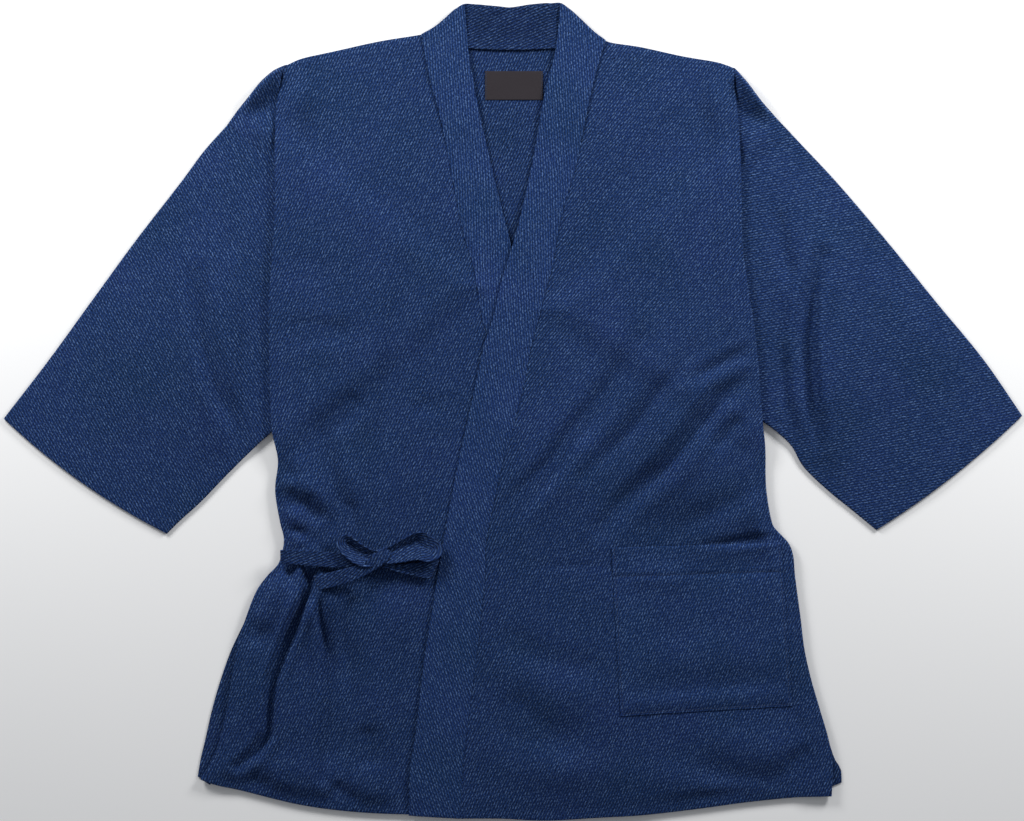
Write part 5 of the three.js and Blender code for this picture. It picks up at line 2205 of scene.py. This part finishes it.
@dataclass
class Bow:
    """The two ties and the bow that they make at the right hip."""

    ribbons: list[Ribbon] = field(default_factory=lambda: [
        Ribbon("tie_from_side", "tie_side", [
            (-239.8, -150.8, -5.4, 13.0, 0), (-239.4, -150.8, -1.6, 13.8, 0), (-234, -151.0, 0.2, 14.8, 0),
            (-216, -152.2, 0, 15.6, 0), (-200, -153.2, 0, 16, 0), (-183, -154.4, 0, 16, 0),
            (-165, -155, 0.6, 15, 0), (-150, -155, 1.6, 13, 0), (-138, -154, 3.0, 10, 0)], 105),
        Ribbon("tie_from_front", "tie_front", [
            (-134, -155, 2.5, 10, 0), (-124, -155, 0.8, 12, 0), (-112, -155, 0, 14, 0),
            (-95, -154, 0, 16, 0), (-78, -153, 0, 16, 0)], 60),
        Ribbon("bow_end_left", "bow_tail_left", [
            (-127.5, -144.5, 4.4, 11, 0), (-132.5, -148.6, 7.8, 13.5, 0), (-139, -153.8, 8.6, 14, 0),
            (-146.5, -159.6, 7.0, 13, -2), (-159.6, -166.2, 4.4, 14, -6), (-172.6, -170.4, 3.2, 15, -5),
            (-185.6, -174, 2.6, 15.5, -3), (-203, -178, 1.8, 15.5, 2)], 90, slant=-1.4),
        Ribbon("bow_end_right", "bow_tail_right", [
            (-134, -158, 5.0, 7, 0), (-126, -161, 4.2, 6.5, 0), (-117.5, -163.2, 3.4, 8.5, 4),
            (-108, -164, 2.8, 12, 4), (-98, -164.6, 2.4, 15.5, 3), (-80, -164.6, 2.0, 19.5, 0)],
            62, slant=4.4),
        Ribbon("bow_loop_of_left", "bow_loop_left", [
            (-138, -150, 3.4, 8, -10), (-148, -147.2, 3.6, 10.5, -35), (-158, -141, 4.2, 11.0, -48),
            (-167, -134.8, 4.8, 11.5, -44), (-172.6, -134.2, 5.6, 14, -16), (-174.8, -137.8, 7.6, 17, 0),
            (-171, -144.2, 7.6, 17.5, -4), (-160, -152.8, 7.2, 17, -4), (-149.5, -157, 6.4, 13, -2),
            (-140, -157, 5.4, 9, 0)], 110, (-172, -138)),
        Ribbon("bow_loop_of_right", "bow_loop_right", [
            (-135, -149, 3.4, 8, 10), (-124, -143.5, 3.8, 11, 30), (-112, -136.6, 4.4, 12, 42),
            (-102, -131.0, 5.0, 12, 42), (-95.5, -130.6, 5.4, 13, 28), (-88, -137.0, 5.8, 17, 8),
            (-82.6, -143.8, 6.6, 21, 0), (-86.5, -146.8, 7.4, 21.5, 3), (-97, -145.6, 7.2, 20, 3),
            (-108, -147.2, 7.0, 19, 2), (-119, -150.0, 6.6, 17, 0), (-128.5, -152.6, 6.0, 13, 0),
            (-135, -154, 5.2, 9, 0)], 120, (-96, -144)),
    ])

    def build(self, finishes: Finishes) -> list[Piece]:
        """Makes the ties, the loops, the ends and the knot."""
        return [piece for part in (*self.ribbons, Knot()) for piece in part.build(finishes)]


@dataclass(frozen=True)
class Lamp:
    """A soft box that points at the jacket."""

    name: str
    power: float
    size: Span
    place: Plain
    aim: Plain = (0.0, 0.0, 0.0)

    def hang(self) -> None:
        """Hangs the lamp."""
        data = bpy.data.lights.new(self.name, "AREA")
        data.energy = self.power
        data.shape = "RECTANGLE"
        data.size, data.size_y = self.size
        hung = bpy.data.objects.new(self.name, data)
        hung.location = self.place
        way = Vector(self.aim) - Vector(self.place)
        hung.rotation_euler = way.to_track_quat("-Z", "Y").to_euler()
        bpy.context.scene.collection.objects.link(hung)


@dataclass
class Studio:
    """The pale floor, the soft light from above the collar and the camera straight overhead."""

    floor_size: float = 6.0
    floor_drop: float = 0.0003
    floor_colour: Plain = (0.90, 0.90, 0.90)
    sky_colour: Plain = (0.92, 0.95, 1.0)
    view_width: float = 1.065
    lens: float = 85.0
    sensor: float = 36.0
    cloth_height: float = 0.005
    centre: Span = (-0.0005, 0.0005)
    fill_strength: float = 0.26
    lamps: tuple[Lamp, ...] = (
        Lamp("left_light", 18.6, (0.6, 0.4), (-0.95, 0.95, 0.62)),
        Lamp("right_light", 21.2, (0.6, 0.4), (1.05, 0.95, 0.62)),
    )

    def build(self) -> None:
        """Makes all of it."""
        bpy.context.scene.view_settings.view_transform = "Standard"
        self.floor()
        self.lights()
        self.camera()

    def floor(self) -> None:
        """Lays the floor."""
        bpy.ops.object.select_all(action="DESELECT")
        bpy.ops.mesh.primitive_plane_add(size=self.floor_size, location=(0, 0, -self.floor_drop))
        floor = bpy.context.object
        floor.name = "studio_floor"
        graph = Graph("floor_paper")
        grain = graph.cloud(graph.node("ShaderNodeTexCoord").outputs["Object"], 60.0, 3.0)
        colour = graph.blend(grain, self.floor_colour, self.floor_colour)
        graph.finish(colour, grain, 0.01, {"Roughness": 0.9})
        floor.data.materials.append(graph.material)

    def lights(self) -> None:
        """Hangs the lamps and sets the soft surrounding light."""
        for lamp in self.lamps:
            lamp.hang()
        world = bpy.data.worlds.new("soft_room")
        bpy.context.scene.world = world
        world.use_nodes = True
        background = world.node_tree.nodes["Background"]
        background.inputs["Color"].default_value = (*self.sky_colour, 1.0)
        background.inputs["Strength"].default_value = self.fill_strength

    def camera(self) -> None:
        """Sets the camera over the jacket, with the collar at the top of the picture."""
        data = bpy.data.cameras.new("overhead")
        data.lens = self.lens
        data.sensor_width = self.sensor
        data.clip_end = 50.0
        camera = bpy.data.objects.new("overhead", data)
        height = self.view_width * self.lens / self.sensor + self.cloth_height
        camera.location = (*self.centre, height)
        bpy.context.scene.collection.objects.link(camera)
        bpy.context.scene.camera = camera


def corners(bounds: tuple[Sequence[float], Sequence[float]]) -> list[list[float]]:
    """Turns a box into plain lists."""
    return [[float(number) for number in corner] for corner in bounds]


def main() -> None:
    """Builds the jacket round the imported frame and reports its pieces."""
    logging.basicConfig(level=logging.INFO, format="%(name)s: %(message)s")
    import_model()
    finishes = Finishes.made()
    parts = (
        BackPanel(),
        Label(),
        Sleeve(RIGHT_HALF, weave_angle=119.0),
        Sleeve(LEFT_HALF, weave_angle=11.0),
        CollarStand(),
        Front(RIGHT_HALF, underside=["back_panel"]),
        CollarBand(RIGHT_HALF, underside=["front_panel_right"]),
        Front(LEFT_HALF, weave_high=52.0, underside=["front_panel_right"]),
        CollarBand(LEFT_HALF, underside=["front_panel_left"]),
        Pocket(),
        Bow(),
    )
    for part in parts:
        for piece in part.build(finishes):
            log.info("%s: %d points", piece.name, len(piece.data.vertices))
    Studio().build()


if __name__ == "__main__":
    main()
